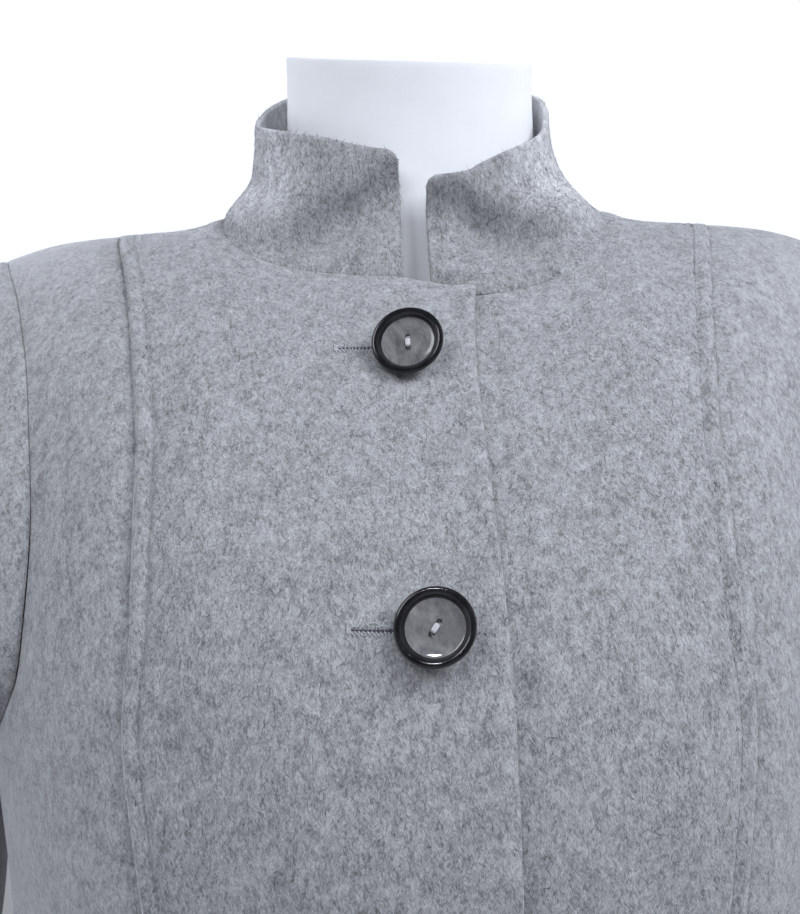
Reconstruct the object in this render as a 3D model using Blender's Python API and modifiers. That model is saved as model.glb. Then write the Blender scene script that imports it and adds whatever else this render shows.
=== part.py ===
"""Single-breasted wool coat with a stand collar, standing on a limbless dress form.

Metres, +Z up, the coat's front towards -Y.  The wearer's right is -X, and the
right front laps over the left.  The coat's outside is one surface: horizontal
sections from SECTIONS, rounded over to a shoulder ridge from RIDGE.  Each panel
is a grid on that surface between two seam curves, given a wall by moving its
points in along the normals shared by neighbouring panels.  Collar and sleeves
start from the panel edges themselves.
"""

import math

import bmesh
import bpy
import numpy as np
from mathutils import Matrix, Vector

for old in list(bpy.data.objects):
    bpy.data.objects.remove(old, do_unlink=True)

MM = 0.001

# ------------------------------------------------------------------ sizes, mm
WALL = 2.4            # melton cloth, one layer with its turned edges pressed
COLLAR_WALL = 4.0     # two layers of melton and interlining
SEAM_GAP = 0.2        # each edge stands back this far from the seam line
LAP_STEP = 1.7        # right front out, left front in, where they lap
LAP_EDGE = 25.0       # front edge past the centre line, at the top
LAP_FALL = 0.26       # fall of the lap's top edge per mm past the collar end
RIDGE_Y = 8.0         # shoulder and side seams lie in this plane
UNDERARM_Z = 1165.0
HEM_Z = 500.0
NECK_HALF = 92.0      # side neck point
NECK_RIGHT_Z = 1366.5  # front neck point of the lapping right front
NECK_LEFT_Z = 1357.0   # and of the left front under it
NECK_SIDE_Z = 1407.5
NECK_BACK = 84.0      # back neck point behind the shoulder ridge
NECK_POWER = 2.5
TIP_X = 198.0         # shoulder tip
SECTION_POWER = 2.2
FRONT_ROUND_H = 280.0
BACK_ROUND_H = 200.0

# Coat body sections, hem to shoulder
#  z,     half width, front depth, back depth
SECTIONS = [
    (500.0, 242.0, 180.0, 162.0),
    (640.0, 232.0, 174.0, 156.0),
    (780.0, 219.0, 167.0, 147.0),
    (900.0, 203.0, 159.0, 134.0),
    (1000.0, 191.0, 153.0, 122.0),
    (1080.0, 192.0, 155.0, 125.0),
    (1165.0, 200.0, 160.0, 132.0),
    (1250.0, 208.0, 162.0, 134.0),
    (1340.0, 213.0, 162.0, 134.0),
    (1480.0, 214.0, 162.0, 134.0),
]

# Height of the shoulder ridge
#  |x|,  front ridge, back ridge
RIDGE = [
    (0.0, 1400.0, 1472.0),
    (22.0, 1401.0, 1470.5),
    (42.0, 1402.5, 1460.0),
    (60.0, 1405.0, 1445.0),
    (75.0, 1406.5, 1430.0),
    (84.0, 1407.1, 1417.5),
    (92.0, 1407.5, 1407.5),
    (104.0, 1403.6, 1403.6),
    (116.0, 1401.4, 1401.4),
    (142.5, 1399.2, 1399.2),
    (170.0, 1396.4, 1396.4),
    (198.0, 1389.0, 1389.0),
    (220.0, 1380.0, 1380.0),
]

# Front panel seam, shoulder to hem
#  z,     |x|
PANEL_SEAM = [
    (500.0, 138.0),
    (850.0, 116.0),
    (1000.0, 106.0),
    (1090.0, 109.5),
    (1134.0, 113.8),
    (1185.0, 119.0),
    (1225.0, 116.2),
    (1285.0, 116.8),
    (1328.0, 121.8),
    (1369.0, 130.8),
    (1399.2, 142.5),
]

# Armhole, underarm to shoulder tip
#  z,     front |x|, back |x|
ARMHOLE = [
    (1165.0, 200.0, 200.0),
    (1171.0, 188.5, 193.0),
    (1185.0, 177.0, 185.0),
    (1210.0, 168.5, 179.0),
    (1260.0, 164.0, 176.0),
    (1315.0, 169.0, 180.0),
    (1360.0, 182.0, 189.0),
    (1389.0, 198.0, 198.0),
]

# Front edge past the centre line
#  z,     x
EDGE = [
    (500.0, 27.0),
    (1134.0, 25.4),
    (1194.0, 25.2),
    (1285.0, 21.6),
    (1315.0, 20.8),
    (1346.0, 22.6),
    (1362.0, 25.0),
]

# Share of the way down from the top edge to the underarm level, then levels
UPPER_ROWS = [0, 0.008, 0.03, 0.07, 0.13, 0.21, 0.31, 0.43, 0.57, 0.72, 0.87, 1.0]
LOWER_ROWS = [1108.0, 1050.0, 990.0, 920.0, 840.0, 750.0, 660.0, 578.0, 500.0]

# Where the columns of each panel meet its top edge, |x| from the centre line
NECK_COLS = [16.0, 30.0, 46.0, 60.0, 73.0, 82.5, 88.5, 92.0]
SHOULDER_COLS = [104.0, 116.0, 129.0, 142.5]
CAP_COLS = [142.5, 154.0, 165.0, 177.0, 188.0, 198.0]
RIGHT_COLLAR_END = 7.6    # on the wearer's right of the centre line
LEFT_COLLAR_END = 4.7     # on the wearer's left of it

# Collar rows, as shares of its height from the neckline
COLLAR_ROWS = [0.0, 0.12, 0.26, 0.42, 0.58, 0.74, 0.88, 1.0]
# Below its break the collar stands on the neckline, above it on the line of its top
# edge; the break falls from the front ends towards the sides
#  bearing, share of the height
COLLAR_BREAK = [
    (0.0, 0.29),
    (12.0, 0.285),
    (45.0, 0.265),
    (70.0, 0.25),
    (180.0, 0.25),
]
COLLAR_TOP = dict(half_right=75.5, half_left=70.0, mid_x=-1.5, mid_y=8.0, front=41.0,
                  back=73.0, power=2.4)
# Height of the collar's top edge by bearing from the centre front (degrees); the left
# side stands closer to the neck and rises later and steeper
#  bearing, wearer's right, wearer's left
COLLAR_RISE = [
    (0.0, 1426.7, 1415.2),
    (14.0, 1428.4, 1416.4),
    (31.0, 1431.9, 1419.4),
    (52.0, 1437.9, 1428.9),
    (73.5, 1446.5, 1443.0),
    (90.0, 1456.5, 1462.5),
    (117.0, 1477.0, 1479.5),
    (128.0, 1485.0, 1485.0),
    (150.0, 1492.5, 1492.5),
    (180.0, 1496.0, 1496.0),
]

# Sleeve below the cap, centre and half sizes (x is out from the body)
#  z,     centre x, centre y, half x, half y
SLEEVE = [
    (1095.0, 250.0, 3.0, 41.0, 80.0),
    (1030.0, 252.0, -1.0, 39.5, 77.0),
    (960.0, 253.5, -7.0, 38.0, 73.0),
    (900.0, 255.5, -13.0, 36.5, 70.0),
    (845.0, 258.0, -19.0, 35.0, 67.0),
    (790.0, 261.0, -25.0, 34.0, 65.0),
]
CAP_STEPS = [0.0, 0.1, 0.22, 0.36, 0.52, 0.7, 0.86, 1.0]

# Buttons: height of the centre, x, tilt up and tilt to -X (degrees), lift, and the
# turn of the two holes from upright (degrees, to -X)
BUTTONS = [
    ("button_1", 1329.0, -7.0, 19.0, 12.0, 7.2, 5.0),
    ("button_2", 1219.5, -2.0, 21.0, 11.0, 4.6, -31.0),
    ("button_3", 1087.0, -1.0, 1.0, 4.0, 3.6, 14.0),
    ("button_4", 953.0, 0.0, -3.0, 3.0, 3.6, -9.0),
    ("button_5", 820.0, 1.0, -3.0, 2.0, 3.6, 22.0),
]
BUTTON_R = 15.0
BUTTON_H = 4.6
HOLE_R = 1.25
HOLE_APART = 5.0
# Half profile of the button from the middle of its face to the middle of its back
#  radius, height
BUTTON_PROFILE = [
    (0.0, 1.8), (8.6, 1.9), (11.1, 2.3), (12.0, 3.7), (13.4, 4.6), (14.6, 4.2),
    (15.0, 3.5), (14.4, 2.2), (13.0, 0.7), (11.0, 0.0), (0.0, 0.0),
]

# Dress form, neck down: half width, centre y, front and back depth, heights at
# side, front and back
#  half,  mid y, front, back, z side, z front, z back
FORM = [
    (59.3, 6.0, 42.0, 49.4, 1485.4, 1468.8, 1504.8),
    (59.5, 9.0, 38.0, 54.0, 1467.0, 1449.0, 1486.0),
    (60.5, 12.0, 35.0, 60.0, 1443.0, 1426.0, 1462.0),
    (63.0, 15.5, 34.5, 61.0, 1421.0, 1400.0, 1440.0),
    (70.0, 14.0, 35.5, 66.0, 1407.0, 1376.0, 1422.0),
    (84.0, 10.5, 43.0, 74.0, 1398.0, 1353.0, 1401.0),
    (106.0, 8.0, 64.0, 87.0, 1392.0, 1328.0, 1376.0),
    (136.0, 8.0, 88.0, 99.0, 1389.0, 1298.0, 1345.0),
    (160.0, 8.0, 102.0, 106.0, 1379.0, 1268.0, 1308.0),
    (172.0, 8.0, 116.0, 110.0, 1356.0, 1238.0, 1270.0),
    (174.0, 8.0, 128.0, 112.0, 1315.0, 1208.0, 1230.0),
    (172.0, 8.0, 138.0, 112.0, 1265.0, 1180.0, 1190.0),
    (166.0, 8.0, 141.0, 108.0, 1205.0, 1148.0, 1150.0),
    (154.0, 8.0, 128.0, 98.0, 1125.0, 1090.0, 1090.0),
    (138.0, 8.0, 112.0, 88.0, 1030.0, 1020.0, 1020.0),
    (136.0, 8.0, 110.0, 86.0, 985.0, 985.0, 985.0),
    (152.0, 8.0, 116.0, 98.0, 905.0, 905.0, 905.0),
    (172.0, 8.0, 122.0, 114.0, 830.0, 830.0, 830.0),
    (176.0, 8.0, 124.0, 117.0, 790.0, 790.0, 790.0),
]
FORM_AROUND = 36
FORM_NECK_SLIP = 0.038    # neck cut falls this much per mm towards +X
POLE_R = 16.0
BASE_R = 190.0
BASE_H = 14.0
POLE_GAP = 0.4


# ---------------------------------------------------------------- helpers
def curve(rows, column, level_start=False):
    """A smooth interpolating function through one column of a table."""
    pts = sorted((r[0], r[column]) for r in rows)
    xs = np.array([p[0] for p in pts])
    ys = np.array([p[1] for p in pts])
    h = np.diff(xs)
    d = np.diff(ys) / h
    m = np.zeros_like(ys)
    for i in range(1, len(xs) - 1):
        if d[i - 1] * d[i] > 0:
            w1, w2 = 2 * h[i] + h[i - 1], h[i] + 2 * h[i - 1]
            m[i] = (w1 + w2) / (w1 / d[i - 1] + w2 / d[i])
    m[0], m[-1] = 0.0 if level_start else d[0], d[-1]

    def at(v):
        v = float(min(max(v, xs[0]), xs[-1]))
        i = int(min(max(np.searchsorted(xs, v) - 1, 0), len(h) - 1))
        t = (v - xs[i]) / h[i]
        return float(
            ys[i] * (1 + 2 * t) * (1 - t) ** 2
            + m[i] * h[i] * t * (1 - t) ** 2
            + ys[i + 1] * t * t * (3 - 2 * t)
            + m[i + 1] * h[i] * t * t * (t - 1)
        )

    return at


half_at = curve(SECTIONS, 1)
front_at = curve(SECTIONS, 2)
back_at = curve(SECTIONS, 3)
ridge_front = curve(RIDGE, 1, True)
ridge_back = curve(RIDGE, 2, True)
panel_seam = curve(PANEL_SEAM, 1)
armhole_front = curve(ARMHOLE, 1)
armhole_back = curve(ARMHOLE, 2)
edge_at = curve(EDGE, 1)
rise_right = curve(COLLAR_RISE, 1)
rise_left = curve(COLLAR_RISE, 2)
collar_break = curve(COLLAR_BREAK, 1)


def ease(lo, hi, v):
    t = min(max((v - lo) / (hi - lo), 0.0), 1.0)
    return t * t * (3 - 2 * t)


def skin(front, x, z):
    """y of the coat's outside at x, z on its front or back."""
    ax, a = abs(x), half_at(z)
    across = max(0.0, 1 - (ax / a) ** SECTION_POWER) ** (1 / SECTION_POWER)
    if front:
        tau = min(max((ridge_front(ax) - z) / FRONT_ROUND_H, 0.0), 1.0)
        power = 1.25 + 0.6 * ease(50.0, 150.0, ax)
        depth = -front_at(z)
    else:
        tau = min(max((ridge_back(ax) - z) / BACK_ROUND_H, 0.0), 1.0)
        power, depth = 2.0, back_at(z)
    return RIDGE_Y + depth * across * (1 - (1 - tau) ** 2) ** (1 / power)


def neck_z(front, x, low):
    """Height of the neckline at x up to the side neck point.  The fronts are cut
    to a curve seen from the front, the back to a curve seen from above."""
    share = (1 - min(abs(x) / NECK_HALF, 1.0) ** NECK_POWER) ** (1 / NECK_POWER)
    if front:
        if low == NECK_RIGHT_Z:
            fall = LAP_FALL * max(0.0, RIGHT_COLLAR_END - x)
        else:   # keeps level with the lap over it, then drops out of sight
            rise = LAP_FALL * max(0.0, LAP_EDGE - max(x, LEFT_COLLAR_END))
            fall = 0.3 * max(0.0, LEFT_COLLAR_END - x) - rise
        return NECK_SIDE_Z + (low - NECK_SIDE_Z) * share - fall
    z = ridge_back(abs(x))
    across = (1 - (abs(x) / half_at(z)) ** SECTION_POWER) ** (1 / SECTION_POWER)
    reach = NECK_BACK * share / (back_at(z) * across)
    return z - BACK_ROUND_H * (1 - math.sqrt(1 - reach ** 2))


def top_z(front, x, low):
    return neck_z(front, x, low) if abs(x) <= NECK_HALF else ridge_front(abs(x))


def levels(z_top):
    upper = [z_top + (UNDERARM_Z - z_top) * s for s in UPPER_ROWS]
    return upper + LOWER_ROWS


def angle_of(x, z):
    return math.asin(min(abs(x) / half_at(z), 1.0) ** (SECTION_POWER / 2))


def side_of(angle, z):
    return half_at(z) * math.sin(angle) ** (2 / SECTION_POWER)


def grid(front, tops, left, right, by_angle, low=None):
    """Panel points, row by row: columns start at x = tops on the top edge and
    spread evenly between the seam curves left(z) and right(z) further down."""
    n = len(tops) - 1
    cols = []
    for j, top in enumerate(tops):
        z0 = top_z(front, top, low)
        col = []
        for k, z in enumerate(levels(z0)):
            lo, hi = left(z), right(z)
            if by_angle:
                lo, hi, start = angle_of(lo, z), angle_of(hi, z), None
                lo0, hi0 = angle_of(left(z0), z0), angle_of(right(z0), z0)
                start = angle_of(top, z0)
            else:
                lo0, hi0, start = left(z0), right(z0), top
            f0 = (start - lo0) / (hi0 - lo0) if j not in (0, n) else j / n
            f = f0 + (j / n - f0) * ease(0.0, 1.0, (z0 - z) / (z0 - UNDERARM_Z))
            at = lo + (hi - lo) * f
            x = side_of(at, z) if by_angle else at
            if k == 0:
                x = top
            y = skin(front, x, z)
            if k == 0 and abs(top) >= NECK_HALF:
                y = RIDGE_Y
            col.append((x, y, z))
        cols.append(col)
    return np.array(cols).transpose(1, 0, 2)


def armhole_or_side(front):
    hole = armhole_front if front else armhole_back
    return lambda z: hole(z) if z > UNDERARM_Z else half_at(z)


def mirrored(points):
    """The same grid on the other side of the coat, columns still left to right."""
    return points[:, ::-1] * np.array([-1.0, 1.0, 1.0])


def face_normals(points):
    du = points[:-1, 1:] - points[:-1, :-1] + points[1:, 1:] - points[1:, :-1]
    dv = points[1:, :-1] - points[:-1, :-1] + points[1:, 1:] - points[:-1, 1:]
    return np.cross(dv, du)


def shared_normals(panels, outward):
    """Point normals of each grid, joined where grids meet at a seam."""
    total, keys = {}, {}
    for name, points in panels.items():
        fn = face_normals(points)
        mid = (points[:-1, :-1] + points[1:, 1:]) / 2
        if (np.einsum("ijk,ijk->ij", fn, outward(mid))).sum() < 0:
            fn = -fn
        at = np.zeros_like(points)
        at[:-1, :-1] += fn
        at[:-1, 1:] += fn
        at[1:, :-1] += fn
        at[1:, 1:] += fn
        key = [[tuple(np.round(p, 1)) for p in row] for row in points]
        keys[name] = key
        for i, row in enumerate(key):
            for j, k in enumerate(row):
                total[k] = total.get(k, np.zeros(3)) + at[i, j]
    return {
        name: np.array(
            [[total[k] / np.linalg.norm(total[k]) for k in row] for row in key]
        )
        for name, key in keys.items()
    }


def stand_back(points, gap, sides):
    """Moves the named edges of a grid back from the seam line."""
    out = points.copy()
    for side in sides:
        a, b = {
            "left": (out[:, 0], out[:, 1]),
            "right": (out[:, -1], out[:, -2]),
            "top": (out[0], out[1]),
        }[side]
        d = b - a
        a += d / np.linalg.norm(d, axis=1, keepdims=True) * gap
    return out


part = bpy.data.collections.new("wool_coat")
cutters = bpy.data.collections.new("cutters")
cutters.hide_render = True
for c in (part, cutters):
    bpy.context.scene.collection.children.link(c)


def material(name, rgb, rough, metal=0.0):
    mat = bpy.data.materials.new(name)
    mat.use_nodes = True
    p = mat.node_tree.nodes["Principled BSDF"]
    p.inputs["Base Color"].default_value = (*rgb, 1.0)
    p.inputs["Roughness"].default_value = rough
    p.inputs["Metallic"].default_value = metal
    return mat


def add(name, mesh, mat, where=part):
    obj = bpy.data.objects.new(name, mesh)
    where.objects.link(obj)
    if mat:
        mesh.materials.append(mat)
    return obj


def cloth(name, outer, inner, rgb=(0.36, 0.37, 0.41), closed=False):
    """A wall between two like grids: a flat grid, extruded once, its two layers
    then moved to the outer and inner points.  closed joins the side columns."""
    rows, cols = outer.shape[:2]
    bm = bmesh.new()
    bmesh.ops.create_grid(bm, x_segments=cols - 1, y_segments=rows - 1, size=1.0)

    def place(v):
        return (
            round((1 - v.co.y) / 2 * (rows - 1)),
            round((v.co.x + 1) / 2 * (cols - 1)),
        )

    first = list(bm.verts)
    made = bmesh.ops.extrude_face_region(bm, geom=bm.faces[:], use_keep_orig=True)
    second = [g for g in made["geom"] if isinstance(g, bmesh.types.BMVert)]
    moves = [(v, inner[place(v)]) for v in first]
    moves += [(v, outer[place(v)]) for v in second]
    if closed:
        ends = [f for f in bm.faces if all(abs(v.co.x) > 0.9999 for v in f.verts)
                and len({round(v.co.x) for v in f.verts}) == 1]
        bmesh.ops.delete(bm, geom=ends, context="FACES_ONLY")
    for v, p in moves:
        v.co = Vector(p) * MM
    if closed:
        bmesh.ops.remove_doubles(bm, verts=bm.verts[:], dist=1e-6)
    bmesh.ops.recalc_face_normals(bm, faces=bm.faces[:])
    mesh = bpy.data.meshes.new(name)
    bm.to_mesh(mesh)
    bm.free()
    return add(name, mesh, material(name + "_cloth", rgb, 0.95))


# ---------------------------------------------------------------- body panels
right_tops = [-LAP_EDGE, -13.0, -2.0, RIGHT_COLLAR_END] + NECK_COLS + SHOULDER_COLS
left_tops = [-LAP_EDGE, -13.0, -3.0, LEFT_COLLAR_END] + NECK_COLS + SHOULDER_COLS
back_half = [0.0, 22.0, 42.0] + NECK_COLS[3:] + SHOULDER_COLS + CAP_COLS[1:]

lap = lambda z: -edge_at(z)
front_centre_r = grid(True, right_tops, lap, panel_seam, False, NECK_RIGHT_Z)
front_centre_l = grid(True, left_tops, lap, panel_seam, False, NECK_LEFT_Z)
front_side = grid(True, CAP_COLS, panel_seam, armhole_or_side(True), True)
back_left = grid(False, back_half, lambda z: 0.0, armhole_or_side(False), True)
back_left[:, 0, 0] = 0.0

panels = {
    "front_right_centre": mirrored(front_centre_r),
    "front_right_side": mirrored(front_side),
    "front_left_centre": front_centre_l,
    "front_left_side": front_side,
    "back": np.concatenate([mirrored(back_left), back_left[:, 1:]], axis=1),
}


def away(p):
    return p - np.stack(
        [0 * p[..., 0], 0 * p[..., 1] + RIDGE_Y, p[..., 2] - 40.0], axis=-1
    )


normals = shared_normals(panels, away)


def lap_step(points, way):
    """Steps a front out or in where the two fronts lap."""
    x = np.abs(points[..., 0])
    t = np.clip((90.0 - x) / (90.0 - 34.0), 0, 1)
    return (way * LAP_STEP * t * t * (3 - 2 * t))[..., None]


OPEN_EDGES = {
    "front_right_centre": (["left", "top"], 1.0),
    "front_right_side": (["left", "right", "top"], 0.0),
    "front_left_centre": (["right", "top"], -1.0),
    "front_left_side": (["left", "right", "top"], 0.0),
    "back": (["left", "right", "top"], 0.0),
}
walls = {}
for name, points in panels.items():
    sides, way = OPEN_EDGES[name]
    outer = points + normals[name] * lap_step(points, way)
    inner = outer - normals[name] * WALL
    walls[name] = (outer, inner)
    cloth(name, stand_back(outer, SEAM_GAP, sides), stand_back(inner, SEAM_GAP, sides))

# ---------------------------------------------------------------- collar
# The neckline, from the wearer's right end at the front, round the back, to the
# left end: the top edges of the fronts and the back.
n_right, n_left = len(NECK_COLS), len(NECK_COLS)
fr, fl, bk = (walls[k][0] for k in ("front_right_centre", "front_left_centre", "back"))
right_run = fr[0][::-1][3:3 + n_right + 1]
left_run = fl[0][3:3 + n_left + 1][::-1].copy()
left_run[left_run[:, 0] < LAP_EDGE + 6.0] += (0.0, 1.2, 0.9)   # clears the lap's edge
back_x = np.abs(bk[0][:, 0])
back_run = bk[0][back_x < NECK_HALF - 0.5]
base = np.concatenate([right_run, back_run, left_run])


def collar_top(p):
    """Top edge above a point of the neckline, by its direction from the middle."""
    t = COLLAR_TOP
    dx = p[0] / NECK_HALF
    front = p[1] < RIDGE_Y
    reach = RIDGE_Y - right_run[0, 1] if front else NECK_BACK
    dy = (p[1] - RIDGE_Y) / reach
    ang = math.atan2(abs(dx), abs(dy))
    s, c = math.sin(ang), math.cos(ang)
    r = (s ** t["power"] + c ** t["power"]) ** (-1 / t["power"])
    half = t["half_right"] if p[0] < 0 else t["half_left"]
    out = half * s * r
    y = t["mid_y"] - t["front"] * c * r if front else t["mid_y"] + t["back"] * c * r
    bearing = math.degrees(math.atan2(out, t["mid_y"] - y))
    z = (rise_right if p[0] < 0 else rise_left)(bearing)
    return np.array([t["mid_x"] + math.copysign(out, p[0]), y, z]), collar_break(bearing)


tops, breaks = (np.array(v) for v in zip(*(collar_top(p) for p in base)))
# the two ends stand straight up from the neckline
for ends in ((0, 1, 2), (-1, -2, -3)):
    for i, keep in zip(ends, (1.0, 0.8, 0.4)):
        tops[i, 0] += keep * (base[i, 0] - tops[i, 0])
collar_rows = []
for share in COLLAR_ROWS:
    run = np.array([ease(b - 0.25, b + 0.27, share) for b in breaks])
    row = base + (tops - base) * run[:, None]
    row[:, 2] = base[:, 2] + 0.5 + (tops[:, 2] - base[:, 2] - 0.5) * share
    collar_rows.append(row)
collar_out = np.array(collar_rows)
collar_n = shared_normals({"c": collar_out}, lambda m: m - np.stack(
    [0 * m[..., 0], 0 * m[..., 1] + RIDGE_Y, m[..., 2]], axis=-1))["c"]
base_n = collar_n[0] * np.array([1.0, 1.0, 0.15])
collar_n[0] = base_n / np.linalg.norm(base_n, axis=1, keepdims=True)
cloth("collar", collar_out, collar_out - collar_n * COLLAR_WALL)


# ---------------------------------------------------------------- sleeves
def sleeve(name, sign):
    up = len(UPPER_ROWS)
    front_name = "front_left_side" if sign > 0 else "front_right_side"
    edge = -1 if sign > 0 else 0
    hole_f, hole_b = walls[front_name][0][:up, edge], walls["back"][0][:up, edge]
    body_f, body_b = normals[front_name][:up, edge], normals["back"][:up, edge]
    hole = np.concatenate([hole_f, hole_b[-2:0:-1]])
    body = np.concatenate([body_f, body_b[-2:0:-1]])
    hole[:, 0] *= sign
    body[:, 0] *= sign
    # even steps of arc round the armhole, tip to underarm and back
    step = np.linalg.norm(np.diff(np.vstack([hole, hole[:1]]), axis=0), axis=1)
    run = np.concatenate([[0], np.cumsum(step)])[:-1]
    half_run = run[up - 1]
    whole = step.sum()
    ang = np.where(
        run <= half_run, math.pi * run / half_run,
        math.pi + math.pi * (run - half_run) / (whole - half_run))
    z0, cx, cy, hx, hy = SLEEVE[0]
    rows = []
    first = np.stack([cx + hx * np.cos(ang), cy - hy * np.sin(ang), 0 * ang + z0], -1)
    outer_share = (1 + np.cos(ang)) / 2
    start = hole + np.stack([0 * ang + SEAM_GAP, 0 * ang, 0.25 - 0.5 * outer_share], -1)
    leave = np.stack([14 + 22 * outer_share, 0 * ang, 3 - 13 * outer_share], -1)
    arrive = np.stack([0 * ang, 0 * ang, 22 + 78 * outer_share], -1)
    for t in CAP_STEPS:
        rows.append((1 - t) ** 3 * start + 3 * t * (1 - t) ** 2 * (start + leave)
                    + 3 * t * t * (1 - t) * (first + arrive) + t ** 3 * first)
    for z, cx, cy, hx, hy in SLEEVE[1:]:
        rows.append(np.stack(
            [cx + hx * np.cos(ang), cy - hy * np.sin(ang), 0 * ang + z], -1))
    pts = np.array(rows)
    pts = np.concatenate([pts, pts[:, :1]], axis=1)
    mid = pts[:, :-1].mean(axis=1)
    n = shared_normals(
        {"s": pts}, lambda m: m - (mid[:-1] + mid[1:])[:, None] / 2)["s"]
    lead = n[0] + np.concatenate([body, body[:1]])
    n[0] = lead / np.linalg.norm(lead, axis=1, keepdims=True)
    inner = pts - n * WALL
    flip = np.array([sign, 1.0, 1.0])
    cloth(name, pts * flip, inner * flip, closed=True)


sleeve("sleeve_left", 1)
sleeve("sleeve_right", -1)

# ---------------------------------------------------------------- buttons
for name, z, x, up_tilt, side_tilt, lift, hole_turn in BUTTONS:
    r, h = math.radians(up_tilt), math.radians(side_tilt)
    facing_v = Vector((-math.sin(h) * math.cos(r), -math.cos(h) * math.cos(r), math.sin(r)))
    at = Vector((x, skin(True, x, z) - LAP_STEP, z)) + lift * Vector(
        (0, -math.cos(r), math.sin(r)))
    turn = facing_v.to_track_quat("Z", "Y").to_matrix().to_4x4()
    turn = turn @ Matrix.Rotation(math.radians(hole_turn), 4, "Z")
    place = Matrix.Translation(at * MM) @ turn

    mesh = bpy.data.meshes.new(name)
    bm = bmesh.new()
    chain = [bm.verts.new((rad * MM, 0, hgt * MM)) for rad, hgt in BUTTON_PROFILE]
    for a, b in zip(chain, chain[1:]):
        bm.edges.new((a, b))
    bm.to_mesh(mesh)
    bm.free()
    button = add(name, mesh, material(name + "_horn", (0.05, 0.05, 0.055), 0.22))
    screw = button.modifiers.new("turn", "SCREW")
    screw.steps = screw.render_steps = 20
    screw.use_merge_vertices = True
    screw.merge_threshold = 0.00005
    for i, side in enumerate((-1, 1)):
        drill_mesh = bpy.data.meshes.new(f"{name}_drill_{i}")
        bm = bmesh.new()
        bmesh.ops.create_cone(
            bm, cap_ends=True, segments=8, radius1=HOLE_R * MM, radius2=HOLE_R * MM,
            depth=4 * BUTTON_H * MM)
        bm.to_mesh(drill_mesh)
        bm.free()
        drill = add(f"{name}_drill_{i}", drill_mesh, None, cutters)
        drill.matrix_world = place @ Matrix.Translation((0, side * HOLE_APART / 2 * MM, 0))
        drill.display_type = "WIRE"
        drill.hide_render = True
        cut = button.modifiers.new(f"hole_{i}", "BOOLEAN")
        cut.operation = "DIFFERENCE"
        cut.solver = "EXACT"
        cut.object = drill
    button.matrix_world = place

# ---------------------------------------------------------------- dress form
def form_grid():
    rows = []
    for half, mid, front, back, z_side, z_front, z_back in FORM:
        row = []
        for i in range(FORM_AROUND + 1):
            a = 2 * math.pi * i / FORM_AROUND
            s, c = math.sin(a), math.cos(a)
            x = half * math.copysign(abs(s) ** 0.96, s)
            w = abs(c) ** 0.96
            y = mid - front * w if c > 0 else mid + back * w
            z = z_side + ((z_front if c > 0 else z_back) - z_side) * w
            if z_side > 1455:
                z -= FORM_NECK_SLIP * x
            row.append((x, y, z))
        rows.append(row)
    return np.array(rows)


form = form_grid()
bm = bmesh.new()
rows, cols = form.shape[:2]
bmesh.ops.create_grid(bm, x_segments=cols - 1, y_segments=rows - 1, size=1.0)
for v in bm.verts[:]:
    i = round((1 - v.co.y) / 2 * (rows - 1))
    j = round((v.co.x + 1) / 2 * (cols - 1))
    v.co = Vector(form[i, j]) * MM
bmesh.ops.remove_doubles(bm, verts=bm.verts[:], dist=1e-6)
bmesh.ops.holes_fill(bm, edges=[e for e in bm.edges if e.is_boundary], sides=0)
bmesh.ops.recalc_face_normals(bm, faces=bm.faces[:])
mesh = bpy.data.meshes.new("form_torso")
bm.to_mesh(mesh)
bm.free()
add("form_torso", mesh, material("form_cover", (0.83, 0.85, 0.88), 0.85))


def turned(name, profile, mat, steps=32):
    mesh = bpy.data.meshes.new(name)
    bm = bmesh.new()
    chain = [bm.verts.new((r * MM, 0, z * MM)) for r, z in profile]
    for a, b in zip(chain, chain[1:]):
        bm.edges.new((a, b))
    bm.to_mesh(mesh)
    bm.free()
    obj = add(name, mesh, mat)
    screw = obj.modifiers.new("turn", "SCREW")
    screw.steps = screw.render_steps = steps
    screw.use_merge_vertices = True
    screw.merge_threshold = 0.00005
    return obj


turned(
    "stand_pole",
    [(0, 790 - POLE_GAP), (POLE_R, 790 - POLE_GAP), (POLE_R, BASE_H + POLE_GAP),
     (0, BASE_H + POLE_GAP)],
    material("pole_metal", (0.72, 0.73, 0.75), 0.3, 1.0),
)
turned(
    "stand_base",
    [(0, BASE_H), (BASE_R - 5, BASE_H), (BASE_R - 1.5, BASE_H - 1.5),
     (BASE_R, BASE_H - 5), (BASE_R, 0), (0, 0)],
    material("base_metal", (0.75, 0.76, 0.78), 0.35, 1.0),
    steps=64,
)
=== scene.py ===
"""Looks of the wool coat on its dress form.

Metres, +Z up, the coat's front towards -Y; the tables are in millimetres and
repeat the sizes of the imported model.  Each cloth panel is a closed thin shell on
its solid's form, with rolled edges, seam relief and soft folds.
"""

import math

import bpy
import numpy as np
from mathutils import Matrix, Vector


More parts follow.
